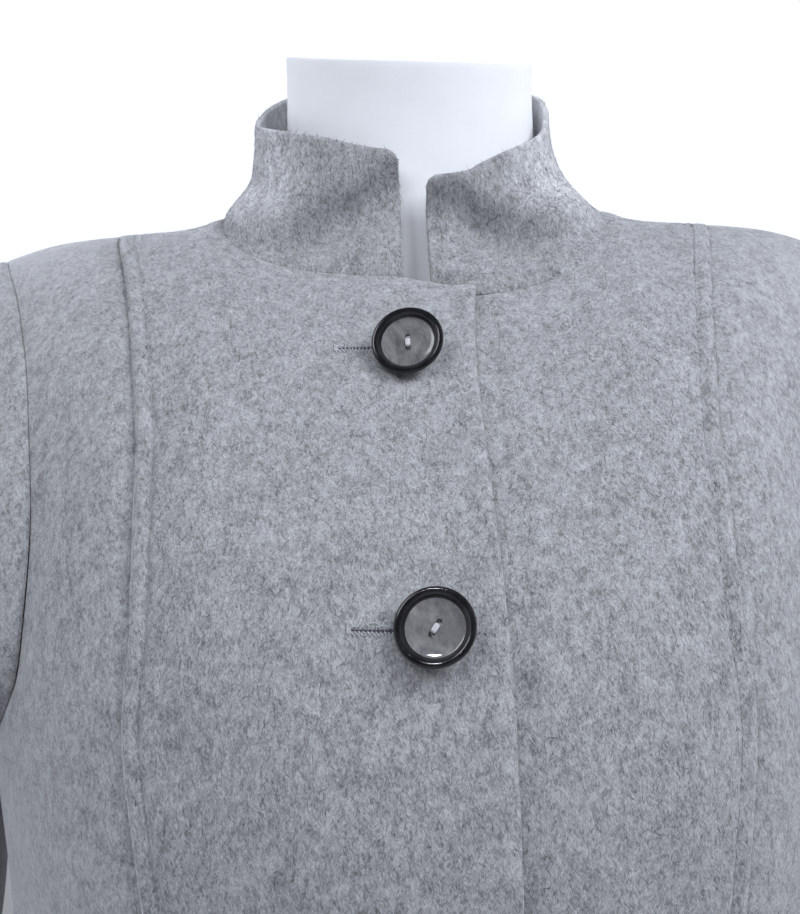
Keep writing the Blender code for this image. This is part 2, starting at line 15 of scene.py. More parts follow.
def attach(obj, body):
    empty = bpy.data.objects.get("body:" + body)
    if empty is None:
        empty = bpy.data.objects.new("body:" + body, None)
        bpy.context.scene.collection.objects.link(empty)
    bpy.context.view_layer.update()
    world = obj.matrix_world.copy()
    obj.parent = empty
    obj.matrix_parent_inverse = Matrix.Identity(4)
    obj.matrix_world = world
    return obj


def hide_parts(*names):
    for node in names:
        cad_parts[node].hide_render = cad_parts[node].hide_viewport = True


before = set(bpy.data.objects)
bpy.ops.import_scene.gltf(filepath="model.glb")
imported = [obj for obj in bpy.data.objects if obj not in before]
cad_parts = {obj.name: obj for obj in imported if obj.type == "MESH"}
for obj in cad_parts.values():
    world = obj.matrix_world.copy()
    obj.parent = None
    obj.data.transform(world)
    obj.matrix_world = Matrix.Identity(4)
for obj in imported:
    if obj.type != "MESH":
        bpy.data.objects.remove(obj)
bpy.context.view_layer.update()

MM = 0.001

# ------------------------------------------------------------------ camera
CAMERA = dict(lens=44.51, at=(-0.0232, -0.5472, 1.2688), az=-1.41, el=2.0, roll=-1.52)


def make_camera():
    c = CAMERA
    data = bpy.data.cameras.new("camera")
    data.sensor_width, data.lens = 36.0, c["lens"]
    data.clip_start, data.clip_end = 0.02, 60.0
    az, el, ro = (math.radians(c[k]) for k in ("az", "el", "roll"))
    d = Vector((-math.sin(az) * math.cos(el), math.cos(az) * math.cos(el), math.sin(el)))
    r = Vector((math.cos(az), math.sin(az), 0.0))
    u = r.cross(d)
    r2 = r * math.cos(ro) + u * math.sin(ro)
    u2 = u * math.cos(ro) - r * math.sin(ro)
    p = c["at"]
    cam = bpy.data.objects.new("camera", data)
    bpy.context.scene.collection.objects.link(cam)
    cam.matrix_world = Matrix((
        (r2.x, u2.x, -d.x, p[0]), (r2.y, u2.y, -d.y, p[1]),
        (r2.z, u2.z, -d.z, p[2]), (0, 0, 0, 1)))
    bpy.context.scene.camera = cam


make_camera()

# ------------------------------------------------------------------ sizes, mm
WALL = 2.4
COLLAR_WALL = 4.0
SEAM_GAP = -0.5       # the rolled edges press together
UNDER_COLLAR = 0.8    # the panels reach this far inside the collar's foot
LAP_STEP = 1.7
LAP_EDGE = 25.0
LAP_FALL = 0.26
RIDGE_Y = 8.0
UNDERARM_Z = 1165.0
HEM_Z = 500.0
NECK_HALF = 92.0
NECK_RIGHT_Z = 1366.5
NECK_LEFT_Z = 1357.0
NECK_SIDE_Z = 1407.5
NECK_BACK = 84.0
NECK_POWER = 2.5
TIP_X = 198.0
SECTION_POWER = 2.2
FRONT_ROUND_H = 280.0
BACK_ROUND_H = 200.0

#  z,     half width, front depth, back depth
SECTIONS = [
    (500.0, 242.0, 180.0, 162.0),
    (640.0, 232.0, 174.0, 156.0),
    (780.0, 219.0, 167.0, 147.0),
    (900.0, 203.0, 159.0, 134.0),
    (1000.0, 191.0, 153.0, 122.0),
    (1080.0, 192.0, 155.0, 125.0),
    (1165.0, 200.0, 160.0, 132.0),
    (1250.0, 208.0, 162.0, 134.0),
    (1340.0, 213.0, 162.0, 134.0),
    (1480.0, 214.0, 162.0, 134.0),
]
#  |x|,  front ridge, back ridge
RIDGE = [
    (0.0, 1400.0, 1472.0),
    (22.0, 1401.0, 1470.5),
    (42.0, 1402.5, 1460.0),
    (60.0, 1405.0, 1445.0),
    (75.0, 1406.5, 1430.0),
    (84.0, 1407.1, 1417.5),
    (92.0, 1407.5, 1407.5),
    (104.0, 1403.6, 1403.6),
    (116.0, 1401.4, 1401.4),
    (142.5, 1399.2, 1399.2),
    (170.0, 1396.4, 1396.4),
    (198.0, 1389.0, 1389.0),
    (220.0, 1380.0, 1380.0),
]
#  z,     |x|
PANEL_SEAM = [
    (500.0, 138.0),
    (850.0, 116.0),
    (1000.0, 106.0),
    (1090.0, 109.5),
    (1134.0, 113.8),
    (1185.0, 119.0),
    (1225.0, 116.2),
    (1285.0, 116.8),
    (1328.0, 121.8),
    (1369.0, 130.8),
    (1399.2, 142.5),
]
#  z,     front |x|, back |x|
ARMHOLE = [
    (1165.0, 200.0, 200.0),
    (1171.0, 188.5, 193.0),
    (1185.0, 177.0, 185.0),
    (1210.0, 168.5, 179.0),
    (1260.0, 164.0, 176.0),
    (1315.0, 169.0, 180.0),
    (1360.0, 182.0, 189.0),
    (1389.0, 198.0, 198.0),
]
#  z,     x
EDGE = [
    (500.0, 27.0),
    (1134.0, 25.4),
    (1194.0, 25.2),
    (1285.0, 21.6),
    (1315.0, 20.8),
    (1346.0, 22.6),
    (1362.0, 25.0),
]
NECK_COLS = [16.0, 30.0, 46.0, 60.0, 73.0, 82.5, 88.5, 92.0]
SHOULDER_COLS = [104.0, 116.0, 129.0, 142.5]
CAP_COLS = [142.5, 154.0, 165.0, 177.0, 188.0, 198.0]
RIGHT_COLLAR_END = 7.6
LEFT_COLLAR_END = 4.7
#  bearing, share of the height where the collar breaks
COLLAR_BREAK = [
    (0.0, 0.29),
    (12.0, 0.285),
    (45.0, 0.265),
    (70.0, 0.25),
    (180.0, 0.25),
]
COLLAR_TOP = dict(half_right=75.5, half_left=70.0, mid_x=-1.5, mid_y=8.0, front=41.0,
                  back=73.0, power=2.4)
#  bearing, wearer's right, wearer's left
COLLAR_RISE = [
    (0.0, 1426.7, 1415.2),
    (14.0, 1428.4, 1416.4),
    (31.0, 1431.9, 1419.4),
    (52.0, 1437.9, 1428.9),
    (73.5, 1446.5, 1443.0),
    (90.0, 1456.5, 1462.5),
    (117.0, 1477.0, 1479.5),
    (128.0, 1485.0, 1485.0),
    (150.0, 1492.5, 1492.5),
    (180.0, 1496.0, 1496.0),
]
#  z,     centre x, centre y, half x, half y
SLEEVE = [
    (1095.0, 250.0, 3.0, 41.0, 80.0),
    (1030.0, 252.0, -1.0, 39.5, 77.0),
    (960.0, 253.5, -7.0, 38.0, 73.0),
    (900.0, 255.5, -13.0, 36.5, 70.0),
    (845.0, 258.0, -19.0, 35.0, 67.0),
    (790.0, 261.0, -25.0, 34.0, 65.0),
]
#  name, z, x, tilt up, tilt to -X, lift, turn of the holes
BUTTONS = [
    ("button_1", 1329.0, -7.0, 19.0, 12.0, 7.2, 5.0),
    ("button_2", 1219.5, -2.0, 21.0, 11.0, 4.6, -31.0),
    ("button_3", 1087.0, -1.0, 1.0, 4.0, 3.6, 14.0),
    ("button_4", 953.0, 0.0, -3.0, 3.0, 3.6, -9.0),
    ("button_5", 820.0, 1.0, -3.0, 2.0, 3.6, 22.0),
]
HOLE_R = 1.25
HOLE_APART = 5.0
#  half,  mid y, front, back, z side, z front, z back
FORM = [
    (59.3, 6.0, 42.0, 49.4, 1485.4, 1468.8, 1504.8),
    (59.5, 9.0, 38.0, 54.0, 1467.0, 1449.0, 1486.0),
    (60.5, 12.0, 35.0, 60.0, 1443.0, 1426.0, 1462.0),
    (63.0, 15.5, 34.5, 61.0, 1421.0, 1400.0, 1440.0),
    (70.0, 14.0, 35.5, 66.0, 1407.0, 1376.0, 1422.0),
    (84.0, 10.5, 43.0, 74.0, 1398.0, 1353.0, 1401.0),
    (106.0, 8.0, 64.0, 87.0, 1392.0, 1328.0, 1376.0),
    (136.0, 8.0, 88.0, 99.0, 1389.0, 1298.0, 1345.0),
    (160.0, 8.0, 102.0, 106.0, 1379.0, 1268.0, 1308.0),
    (172.0, 8.0, 116.0, 110.0, 1356.0, 1238.0, 1270.0),
    (174.0, 8.0, 128.0, 112.0, 1315.0, 1208.0, 1230.0),
    (172.0, 8.0, 138.0, 112.0, 1265.0, 1180.0, 1190.0),
    (166.0, 8.0, 141.0, 108.0, 1205.0, 1148.0, 1150.0),
    (154.0, 8.0, 128.0, 98.0, 1125.0, 1090.0, 1090.0),
    (138.0, 8.0, 112.0, 88.0, 1030.0, 1020.0, 1020.0),
    (136.0, 8.0, 110.0, 86.0, 985.0, 985.0, 985.0),
    (152.0, 8.0, 116.0, 98.0, 905.0, 905.0, 905.0),
    (172.0, 8.0, 122.0, 114.0, 830.0, 830.0, 830.0),
    (176.0, 8.0, 124.0, 117.0, 790.0, 790.0, 790.0),
]
FORM_NECK_SLIP = 0.038
POLE_R = 16.0
BASE_R = 190.0
BASE_H = 14.0

# ------------------------------------------------------------------ relief tables
# Soft flutes of the skirt: bearing from the centre front (degrees, + to the wearer's
# left), width (degrees), height at the hem (mm, minus is a trough), start height
FLUTES = [
    (-27.0, 9.0, 4.5, 1010.0),
    (-44.0, 8.0, -3.5, 960.0),
    (-66.0, 10.0, 5.0, 990.0),
    (-92.0, 9.0, -4.0, 940.0),
    (24.0, 10.0, 4.0, 980.0),
    (46.0, 9.0, -4.0, 1000.0),
    (63.0, 8.0, 5.0, 930.0),
    (95.0, 10.0, -4.5, 960.0),
    (118.0, 9.0, 5.5, 1000.0),
    (137.0, 8.0, -4.0, 950.0),
    (158.0, 10.0, 5.0, 1010.0),
    (-178.0, 9.0, -4.5, 980.0),
    (-153.0, 9.0, 5.0, 940.0),
    (-131.0, 9.0, -4.0, 990.0),
    (-112.0, 8.0, 4.5, 960.0),
]
# Drag lines and dents on the fronts and back:
#  front, x0, z0, x1, z1, width, height
DENTS = [
    (True, -62.0, 1150.0, -54.0, 1085.0, 9.0, -0.9),
    (True, -44.0, 1148.0, -40.0, 1090.0, 11.0, 0.7),
    (True, -88.0, 1175.0, -96.0, 1100.0, 13.0, -1.1),
    (True, -30.0, 1285.0, -58.0, 1262.0, 14.0, -0.4),
    (True, -20.0, 1268.0, -70.0, 1240.0, 15.0, 0.4),
    (True, 44.0, 1290.0, 70.0, 1250.0, 15.0, -0.5),
    (True, 60.0, 1180.0, 84.0, 1110.0, 13.0, -0.9),
    (True, 92.0, 1200.0, 100.0, 1120.0, 12.0, 0.7),
    (True, 26.0, 1348.0, 28.0, 1200.0, 6.0, -1.5),
    (True, 28.0, 1200.0, 30.0, 1080.0, 7.0, -1.8),
    (True, -150.0, 1300.0, -172.0, 1200.0, 13.0, -1.6),
    (True, 150.0, 1305.0, 172.0, 1205.0, 13.0, -1.6),
    (True, -70.0, 1010.0, -120.0, 985.0, 13.0, -1.4),
    (True, 64.0, 1016.0, 118.0, 992.0, 13.0, -1.3),
    (False, -150.0, 1300.0, -165.0, 1190.0, 16.0, -2.0),
    (False, 148.0, 1295.0, 168.0, 1195.0, 16.0, -1.8),
    (False, -34.0, 1330.0, -22.0, 1180.0, 24.0, 1.2),
    (False, 40.0, 1320.0, 26.0, 1170.0, 24.0, 1.0),
    (False, -64.0, 1025.0, 18.0, 1006.0, 15.0, -1.7),
    (False, 74.0, 1032.0, 8.0, 990.0, 14.0, -1.5),
    (False, -110.0, 1000.0, -40.0, 960.0, 15.0, -1.4),
    (False, 120.0, 990.0, 60.0, 965.0, 14.0, -1.3),
]
# Soft swells of the collar: side, bearing, width, share of the height, tall, height
COLLAR_SWELLS = [
    (-1, 71.0, 11.0, 0.52, 0.34, 4.4),
    (-1, 99.0, 14.0, 0.46, 0.34, -4.0),
    (-1, 46.0, 13.0, 0.28, 0.20, -1.8),
    (1, 68.0, 11.0, 0.50, 0.34, 4.0),
    (1, 97.0, 14.0, 0.44, 0.34, -3.6),
    (1, 44.0, 13.0, 0.28, 0.20, -2.2),
    (-1, 150.0, 20.0, 0.60, 0.40, 1.2),
    (1, 158.0, 22.0, 0.55, 0.40, -1.0),
]
# Soft diagonal break of each collar front, from its end down to the side:
#  bearing, share of the height on the wearer's right, on their left; then the strength
#  on each side and the width, mm
COLLAR_FOLD = [
    (0.0, 0.90, 0.88),
    (17.0, 0.785, 0.84),
    (28.0, 0.65, 0.75),
    (36.0, 0.545, 0.65),
    (43.0, 0.45, 0.52),
    (53.0, 0.30, 0.35),
    (59.0, 0.21, 0.26),
    (66.0, 0.12, 0.16),
    (80.0, 0.04, 0.06),
    (180.0, 0.0, 0.0),
]
FOLD_RIGHT, FOLD_LEFT, FOLD_WIDE = 7.4, 6.6, 13.0
# Creases of the sleeves: bearing round the sleeve (degrees, 0 outside, 90 front),
# height, end bearing, end height, width, height
SLEEVE_CREASES = [
    (60.0, 1015.0, 150.0, 985.0, 10.0, -2.6),
    (75.0, 985.0, 165.0, 962.0, 9.0, -2.4),
    (40.0, 1000.0, 95.0, 968.0, 9.0, 1.6),
    (70.0, 948.0, 140.0, 938.0, 9.0, -1.8),
    (-35.0, 1090.0, -80.0, 1010.0, 16.0, -1.8),
    (20.0, 1120.0, 55.0, 1040.0, 16.0, -1.6),
    (-100.0, 1110.0, -150.0, 1060.0, 13.0, -2.2),
    (100.0, 1105.0, 150.0, 1070.0, 12.0, -2.2),
    (30.0, 900.0, 45.0, 815.0, 13.0, -1.5),
    (-60.0, 920.0, -50.0, 830.0, 14.0, -1.4),
    (110.0, 880.0, 125.0, 810.0, 12.0, -1.2),
]


# ------------------------------------------------------------------ helpers
def curve(rows, column, level_start=False):
    """A smooth interpolating function through one column of a table."""
    pts = sorted((r[0], r[column]) for r in rows)
    xs = np.array([p[0] for p in pts])
    ys = np.array([p[1] for p in pts])
    h = np.diff(xs)
    d = np.diff(ys) / h
    m = np.zeros_like(ys)
    for i in range(1, len(xs) - 1):
        if d[i - 1] * d[i] > 0:
            w1, w2 = 2 * h[i] + h[i - 1], h[i] + 2 * h[i - 1]
            m[i] = (w1 + w2) / (w1 / d[i - 1] + w2 / d[i])
    m[0], m[-1] = 0.0 if level_start else d[0], d[-1]

    def at(v):
        v = np.clip(np.asarray(v, float), xs[0], xs[-1])
        i = np.clip(np.searchsorted(xs, v) - 1, 0, len(h) - 1)
        t = (v - xs[i]) / h[i]
        return (
            ys[i] * (1 + 2 * t) * (1 - t) ** 2
            + m[i] * h[i] * t * (1 - t) ** 2
            + ys[i + 1] * t * t * (3 - 2 * t)
            + m[i + 1] * h[i] * t * t * (t - 1)
        )

    return at


half_at = curve(SECTIONS, 1)
front_at = curve(SECTIONS, 2)
back_at = curve(SECTIONS, 3)
ridge_front = curve(RIDGE, 1, True)
ridge_back = curve(RIDGE, 2, True)
panel_seam = curve(PANEL_SEAM, 1)
armhole_front = curve(ARMHOLE, 1)
armhole_back = curve(ARMHOLE, 2)
edge_at = curve(EDGE, 1)
collar_break = curve(COLLAR_BREAK, 1)
fold_right = curve(COLLAR_FOLD, 1)
fold_left = curve(COLLAR_FOLD, 2)
rise_right = curve(COLLAR_RISE, 1)
rise_left = curve(COLLAR_RISE, 2)


def ease(lo, hi, v):
    t = np.clip((v - lo) / (hi - lo), 0.0, 1.0)
    return t * t * (3 - 2 * t)


def unit(v):
    return v / np.maximum(np.linalg.norm(v, axis=-1, keepdims=True), 1e-12)


def skin(front, x, z):
    """y of the coat's outside at x, z on its front or back."""
    ax, a = np.abs(x), half_at(z)
    across = np.maximum(0.0, 1 - (ax / a) ** SECTION_POWER) ** (1 / SECTION_POWER)
    if front:
        tau = np.clip((ridge_front(ax) - z) / FRONT_ROUND_H, 0.0, 1.0)
        power = 1.25 + 0.6 * ease(50.0, 150.0, ax)
        depth = -front_at(z)
    else:
        tau = np.clip((ridge_back(ax) - z) / BACK_ROUND_H, 0.0, 1.0)
        power, depth = 2.0, back_at(z)
    return RIDGE_Y + depth * across * (1 - (1 - tau) ** 2) ** (1 / power)


def skin_normal(front, x, z):
    e = 0.06
    ridge = ridge_front(np.abs(x)) if front else ridge_back(np.abs(x))
    zc = np.minimum(z, ridge - 0.2)
    xc = np.clip(x, -half_at(zc) + 0.3, half_at(zc) - 0.3)
    fx = (skin(front, xc + e, zc) - skin(front, xc - e, zc)) / (2 * e)
    fz = (skin(front, xc, zc + e) - skin(front, xc, zc - e)) / (2 * e)
    sign = 1.0 if front else -1.0
    return unit(np.stack([sign * fx, -sign * np.ones_like(fx), sign * fz], -1))


def neck_z(front, x, low, inset=0.0):
    share = np.minimum(np.abs(x) / (NECK_HALF - inset), 1.0) ** NECK_POWER
    share = (1 - share) ** (1 / NECK_POWER)
    if front:
        if low == NECK_RIGHT_Z:
            fall = LAP_FALL * np.maximum(0.0, RIGHT_COLLAR_END - x)
        else:
            rise = LAP_FALL * np.maximum(0.0, LAP_EDGE - np.maximum(x, LEFT_COLLAR_END))
            fall = 0.3 * np.maximum(0.0, LEFT_COLLAR_END - x) - rise
        return NECK_SIDE_Z + (low + inset - NECK_SIDE_Z) * share - fall
    z = ridge_back(np.abs(x))
    across = (1 - (np.abs(x) / half_at(z)) ** SECTION_POWER) ** (1 / SECTION_POWER)
    reach = (NECK_BACK - inset) * share / (back_at(z) * across)
    return z - BACK_ROUND_H * (1 - np.sqrt(1 - reach ** 2))


def top_z(front, x, low, inset=0.0):
    inside = np.abs(x) <= NECK_HALF - inset
    safe = np.where(inside, x, np.sign(x) * (NECK_HALF - inset))
    return np.where(inside, neck_z(front, safe, low, inset), ridge_front(np.abs(x)))


def angle_of(x, z):
    return np.arcsin(np.minimum(np.abs(x) / half_at(z), 1.0) ** (SECTION_POWER / 2))


def side_of(angle, z):
    return half_at(z) * np.maximum(np.sin(angle), 0.0) ** (2 / SECTION_POWER)


def armhole_or_side(front):
    hole = armhole_front if front else armhole_back
    return lambda z: np.where(z > UNDERARM_Z, hole(z), half_at(z))


def run_along(points, axis):
    """Length along a grid's rows or columns, from its first point."""
    step = np.linalg.norm(np.diff(points, axis=axis), axis=-1)
    zero = np.zeros_like(np.take(step, [0], axis=axis))
    return np.concatenate([zero, np.cumsum(step, axis=axis)], axis=axis)


def wave(seed, count, low, high):
    """A smooth uneven curve of one variable, about -1 to 1."""
    g = np.random.default_rng(seed)
    freq = g.uniform(1 / high, 1 / low, count)
    phase = g.uniform(0, 2 * math.pi, count)

    def at(v):
        total = np.zeros_like(np.asarray(v, float))
        for f, p in zip(freq, phase):
            total = total + np.sin(2 * math.pi * f * v + p)
        return total / math.sqrt(count)

    return at


def capsule(px, pz, x0, z0, x1, z1):
    """Distance from points to a segment."""
    dx, dz = x1 - x0, z1 - z0
    t = np.clip(((px - x0) * dx + (pz - z0) * dz) / (dx * dx + dz * dz), 0, 1)
    return np.hypot(px - x0 - t * dx, pz - z0 - t * dz), t


def body_relief(front, x, y, z):
    """Soft folds of the coat's body, the same on both sides of a seam."""
    out = np.zeros_like(x)
    bearing = np.degrees(np.arctan2(x, RIDGE_Y - y))
    for at, width, height, start in FLUTES:
        turn = (bearing - at + 180.0) % 360.0 - 180.0
        fall = np.clip((start - z) / (start - HEM_Z), 0, 1) ** 1.4
        out += height * fall * np.exp(-(turn / width) ** 2)
    for on_front, x0, z0, x1, z1, width, height in DENTS:
        if on_front == front:
            d, t = capsule(x, z, x0, z0, x1, z1)
            out += height * np.exp(-(d / width) ** 2)
    return out


def link(obj):
    bpy.context.scene.collection.objects.link(obj)
    return obj


def mesh_object(name, verts, faces, mat, uvs=None, smooth=True):
    """One object from arrays; faces is an (n, 3) or (n, 4) array or a list of them."""
    groups = faces if isinstance(faces, list) else [faces]
    groups = [np.asarray(g, np.int32) for g in groups if len(g)]
    loops = np.concatenate([g.ravel() for g in groups])
    sizes = np.concatenate([np.full(len(g), g.shape[1], np.int32) for g in groups])
    starts = np.concatenate([[0], np.cumsum(sizes)[:-1]]).astype(np.int32)
    mesh = bpy.data.meshes.new(name)
    mesh.vertices.add(len(verts))
    mesh.vertices.foreach_set("co", (np.asarray(verts, float) * MM).astype(np.float32).ravel())
    mesh.loops.add(len(loops))
    mesh.loops.foreach_set("vertex_index", loops)
    mesh.polygons.add(len(sizes))
    mesh.polygons.foreach_set("loop_start", starts)
    mesh.polygons.foreach_set("loop_total", sizes)
    if uvs is not None:
        layer = mesh.uv_layers.new(name="OFBake")
        layer.data.foreach_set("uv", np.asarray(uvs, np.float32).ravel())
    mesh.update(calc_edges=True)
    mesh.validate()
    if smooth:
        mesh.shade_smooth()
    if mat:
        mesh.materials.append(mat)
    return link(bpy.data.objects.new(name, mesh))


def shell(name, outer, inner, mat, wrap=False):
    """A closed shell between two like grids that meet along their open edges."""
    rows, cols = outer.shape[:2]
    ids_out = np.arange(rows * cols).reshape(rows, cols)
    shared = np.zeros((rows, cols), bool)
    shared[[0, -1]] = True
    if not wrap:
        shared[:, [0, -1]] = True
    ids_in = ids_out.copy()
    ids_in[~shared] = rows * cols + np.arange((~shared).sum())
    verts = np.concatenate([outer.reshape(-1, 3), inner[~shared]])

    def cells(ids):
        right = np.roll(ids, -1, axis=1) if wrap else ids[:, 1:]
        left = ids if wrap else ids[:, :-1]
        return np.stack([left[:-1], right[:-1], right[1:], left[1:]], -1).reshape(-1, 4)

    a, b = cells(ids_out), cells(ids_in)
    p = verts[a]
    face = np.cross(p[:, 2] - p[:, 0], p[:, 3] - p[:, 1])
    out = (outer - inner)[:-1, :].reshape(-1, 3) if wrap else (
        (outer - inner)[:-1, :-1].reshape(-1, 3))
    if (face * out).sum() < 0:
        a = a[:, ::-1]
    else:
        b = b[:, ::-1]
    # map: outside on the left four fifths, inside on the right fifth
    across = run_along(outer, 1).max(axis=0)
    down = run_along(outer, 0).max(axis=1)
    n_cols = cols + 1 if wrap else cols
    u = np.append(across, across[-1] * (1 + 1 / cols)) if wrap else across
    u = u / u[-1]
    v = 1 - down / down[-1]
    ui, vi = np.meshgrid(u, v)
    ids_uv = np.arange(rows * n_cols).reshape(rows, n_cols)
    c = np.stack([ids_uv[:-1, :-1], ids_uv[:-1, 1:], ids_uv[1:, 1:], ids_uv[1:, :-1]], -1)
    c = c.reshape(-1, 4)
    flat = np.stack([ui.ravel(), vi.ravel()], -1)
    uv_a = flat[c] * (0.785, 0.99) + (0.005, 0.005)
    uv_b = flat[c] * (0.19, 0.99) + (0.805, 0.005)
    if (face * out).sum() < 0:
        uv_a = uv_a[:, ::-1]
    else:
        uv_b = uv_b[:, ::-1]
    uvs = np.concatenate([uv_a.reshape(-1, 2), uv_b.reshape(-1, 2)])
    return mesh_object(name, verts, np.concatenate([a, b]), mat, uvs)


def closing(edges):
    """1 inside a sheet, falling to 0 at its rolled edges: [(distance, radius)]."""
    q = 1.0
    for d, r in edges:
        t = np.clip(d / r, 0, 1)
        q = q * np.sqrt(np.clip(1 - (1 - t) ** 2, 0, 1))
    return q


# ------------------------------------------------------------------ materials
def node(tree, kind, **values):
    n = tree.nodes.new(kind)
    for key, value in values.items():
        setattr(n, key, value)
    return n


def new_material(name):
    mat = bpy.data.materials.new(name)
    mat.use_nodes = True
    tree = mat.node_tree
    return mat, tree, tree.nodes["Principled BSDF"]


def noise(tree, coords, scale, turn, detail, rough, distort=0.0):
    """A noise pattern with its own scale along each axis, in features per metre."""
    mapping = node(tree, "ShaderNodeMapping")
    mapping.inputs["Rotation"].default_value = [math.radians(a) for a in turn]
    stretch = node(tree, "ShaderNodeVectorMath", operation="MULTIPLY")
    stretch.inputs[1].default_value = scale
    n = node(tree, "ShaderNodeTexNoise")
    n.inputs["Scale"].default_value = 1.0
    n.inputs["Detail"].default_value = detail
    n.inputs["Roughness"].default_value = rough
    n.inputs["Distortion"].default_value = distort
    tree.links.new(coords, mapping.inputs["Vector"])
    tree.links.new(mapping.outputs["Vector"], stretch.inputs[0])
    tree.links.new(stretch.outputs["Vector"], n.inputs["Vector"])
    return n.outputs["Fac"]


def math_node(tree, op, a, b):
    m = node(tree, "ShaderNodeMath", operation=op)
    for i, v in enumerate((a, b)):
        if isinstance(v, (int, float)):
            m.inputs[i].default_value = v
        else:
            tree.links.new(v, m.inputs[i])
    return m.outputs["Value"]


def blend_sum(tree, parts):
    """0.5 plus each pattern's swing about its middle times its share."""
    total = None
    for socket, share in parts:
        swing = math_node(tree, "MULTIPLY", math_node(tree, "SUBTRACT", socket, 0.5), share)
        total = swing if total is None else math_node(tree, "ADD", total, swing)
    return math_node(tree, "ADD", total, 0.5)


def ramp(tree, fac, stops):
    r = node(tree, "ShaderNodeValToRGB")
    while len(r.color_ramp.elements) < len(stops):
        r.color_ramp.elements.new(0.5)
    for e, (pos, rgb) in zip(r.color_ramp.elements, stops):
        e.position, e.color = pos, (*rgb, 1.0)
    tree.links.new(fac, r.inputs["Fac"])
    return r.outputs["Color"]


def bump(tree, height, distance, strength, before=None):
    b = node(tree, "ShaderNodeBump")
    b.inputs["Strength"].default_value = strength
    b.inputs["Distance"].default_value = distance
    tree.links.new(height, b.inputs["Height"])
    if before is not None:
        tree.links.new(before, b.inputs["Normal"])
    return b.outputs["Normal"]


def wool(name="wool_melange"):
    mat, tree, p = new_material(name)
    at = node(tree, "ShaderNodeTexCoord").outputs["Object"]
    flecks = noise(tree, at, (820, 820, 380), (0, 12, 0), 3.0, 0.62, 0.5)
    strands = noise(tree, at, (2600, 2600, 650), (0, 22, 0), 2.0, 0.65, 0.3)
    strands2 = noise(tree, at, (2500, 2500, 700), (0, -28, 0), 2.0, 0.65, 0.3)
    clumps = noise(tree, at, (300, 300, 190), (0, -8, 0), 2.0, 0.55)
    mottle = noise(tree, at, (120, 120, 80), (0, 10, 0), 2.0, 0.5)
    tone = blend_sum(tree, [(flecks, 0.85), (strands, 0.75), (strands2, 0.75),
                            (clumps, 0.55), (mottle, 0.30)])
    colour = ramp(tree, tone, [
        (0.10, (0.098, 0.099, 0.103)),
        (0.34, (0.190, 0.194, 0.200)),
        (0.50, (0.282, 0.288, 0.297)),
        (0.66, (0.352, 0.359, 0.370)),
        (0.90, (0.452, 0.461, 0.471)),
    ])
    # painted light and shade: the collar's attribute scales the colour, paler on its sides and inner
    # face, darker on its upper fronts and along its folds
    painted_tone = math_node(tree, "ADD", node(tree, "ShaderNodeAttribute", attribute_name="painted_sheen_and_shade")
                    .outputs["Fac"], 1.0)
    painted_light_scale = node(tree, "ShaderNodeVectorMath", operation="SCALE")
    tree.links.new(colour, painted_light_scale.inputs[0])
    tree.links.new(painted_tone, painted_light_scale.inputs["Scale"])
    tree.links.new(painted_light_scale.outputs["Vector"], p.inputs["Base Color"])
    p.inputs["Roughness"].default_value = 0.95
    p.inputs["Specular IOR Level"].default_value = 0.15
    p.inputs["Sheen Weight"].default_value = 0.85
    p.inputs["Sheen Roughness"].default_value = 0.35
    p.inputs["Sheen Tint"].default_value = (0.95, 0.96, 1.0, 1.0)
    pile = blend_sum(tree, [(flecks, 1.0), (strands, 0.8), (strands2, 0.8)])
    tree.links.new(bump(tree, pile, 0.0008, 0.5), p.inputs["Normal"])
    return mat


def fibre_wool(name, dark, light):
    """Loose fibres of the nap, their tone changing along and between them."""
    mat, tree, p = new_material(name)
    at = node(tree, "ShaderNodeTexCoord").outputs["Object"]
    tone = noise(tree, at, (700, 700, 300), (0, 0, 0), 1.0, 0.5)
    colour = ramp(tree, tone, [(0.3, dark), (0.7, light)])
    tree.links.new(colour, p.inputs["Base Color"])
    p.inputs["Roughness"].default_value = 0.8
    p.inputs["Specular IOR Level"].default_value = 0.2
    return mat


def thread_cloth(name, light, dark):
    mat, tree, p = new_material(name)
    at = node(tree, "ShaderNodeTexCoord").outputs["Object"]
    twist = noise(tree, at, (2600, 2600, 1500), (0, 35, 0), 2.0, 0.6)
    tree.links.new(ramp(tree, twist, [(0.3, dark), (0.7, light)]), p.inputs["Base Color"])
    p.inputs["Roughness"].default_value = 0.7
    p.inputs["Specular IOR Level"].default_value = 0.3
    p.inputs["Sheen Weight"].default_value = 0.2
    tree.links.new(bump(tree, twist, 0.0002, 0.5), p.inputs["Normal"])
    return mat


def horn(name, light, dark, rough, clouds, gloss, coat):
    mat, tree, p = new_material(name)
    at = node(tree, "ShaderNodeTexCoord").outputs["Object"]
    smoke = noise(tree, at, (clouds, clouds, clouds * 0.6), (25, 10, 40), 3.0, 0.55, 0.8)
    grain = noise(tree, at, (2200, 500, 900), (20, 10, 35), 2.0, 0.5)
    tone = blend_sum(tree, [(smoke, 1.0), (grain, 0.25)])
    tree.links.new(ramp(tree, tone, [(0.36, dark), (0.66, light)]), p.inputs["Base Color"])
    worn = node(tree, "ShaderNodeMapRange")
    worn.inputs["To Min"].default_value = rough * 0.8
    worn.inputs["To Max"].default_value = rough * 1.25
    tree.links.new(smoke, worn.inputs["Value"])
    tree.links.new(worn.outputs["Result"], p.inputs["Roughness"])
    p.inputs["Specular IOR Level"].default_value = gloss
    p.inputs["Coat Weight"].default_value = coat
    p.inputs["Coat Roughness"].default_value = 0.06
    tree.links.new(bump(tree, grain, 0.00003, 0.2), p.inputs["Normal"])
    return mat


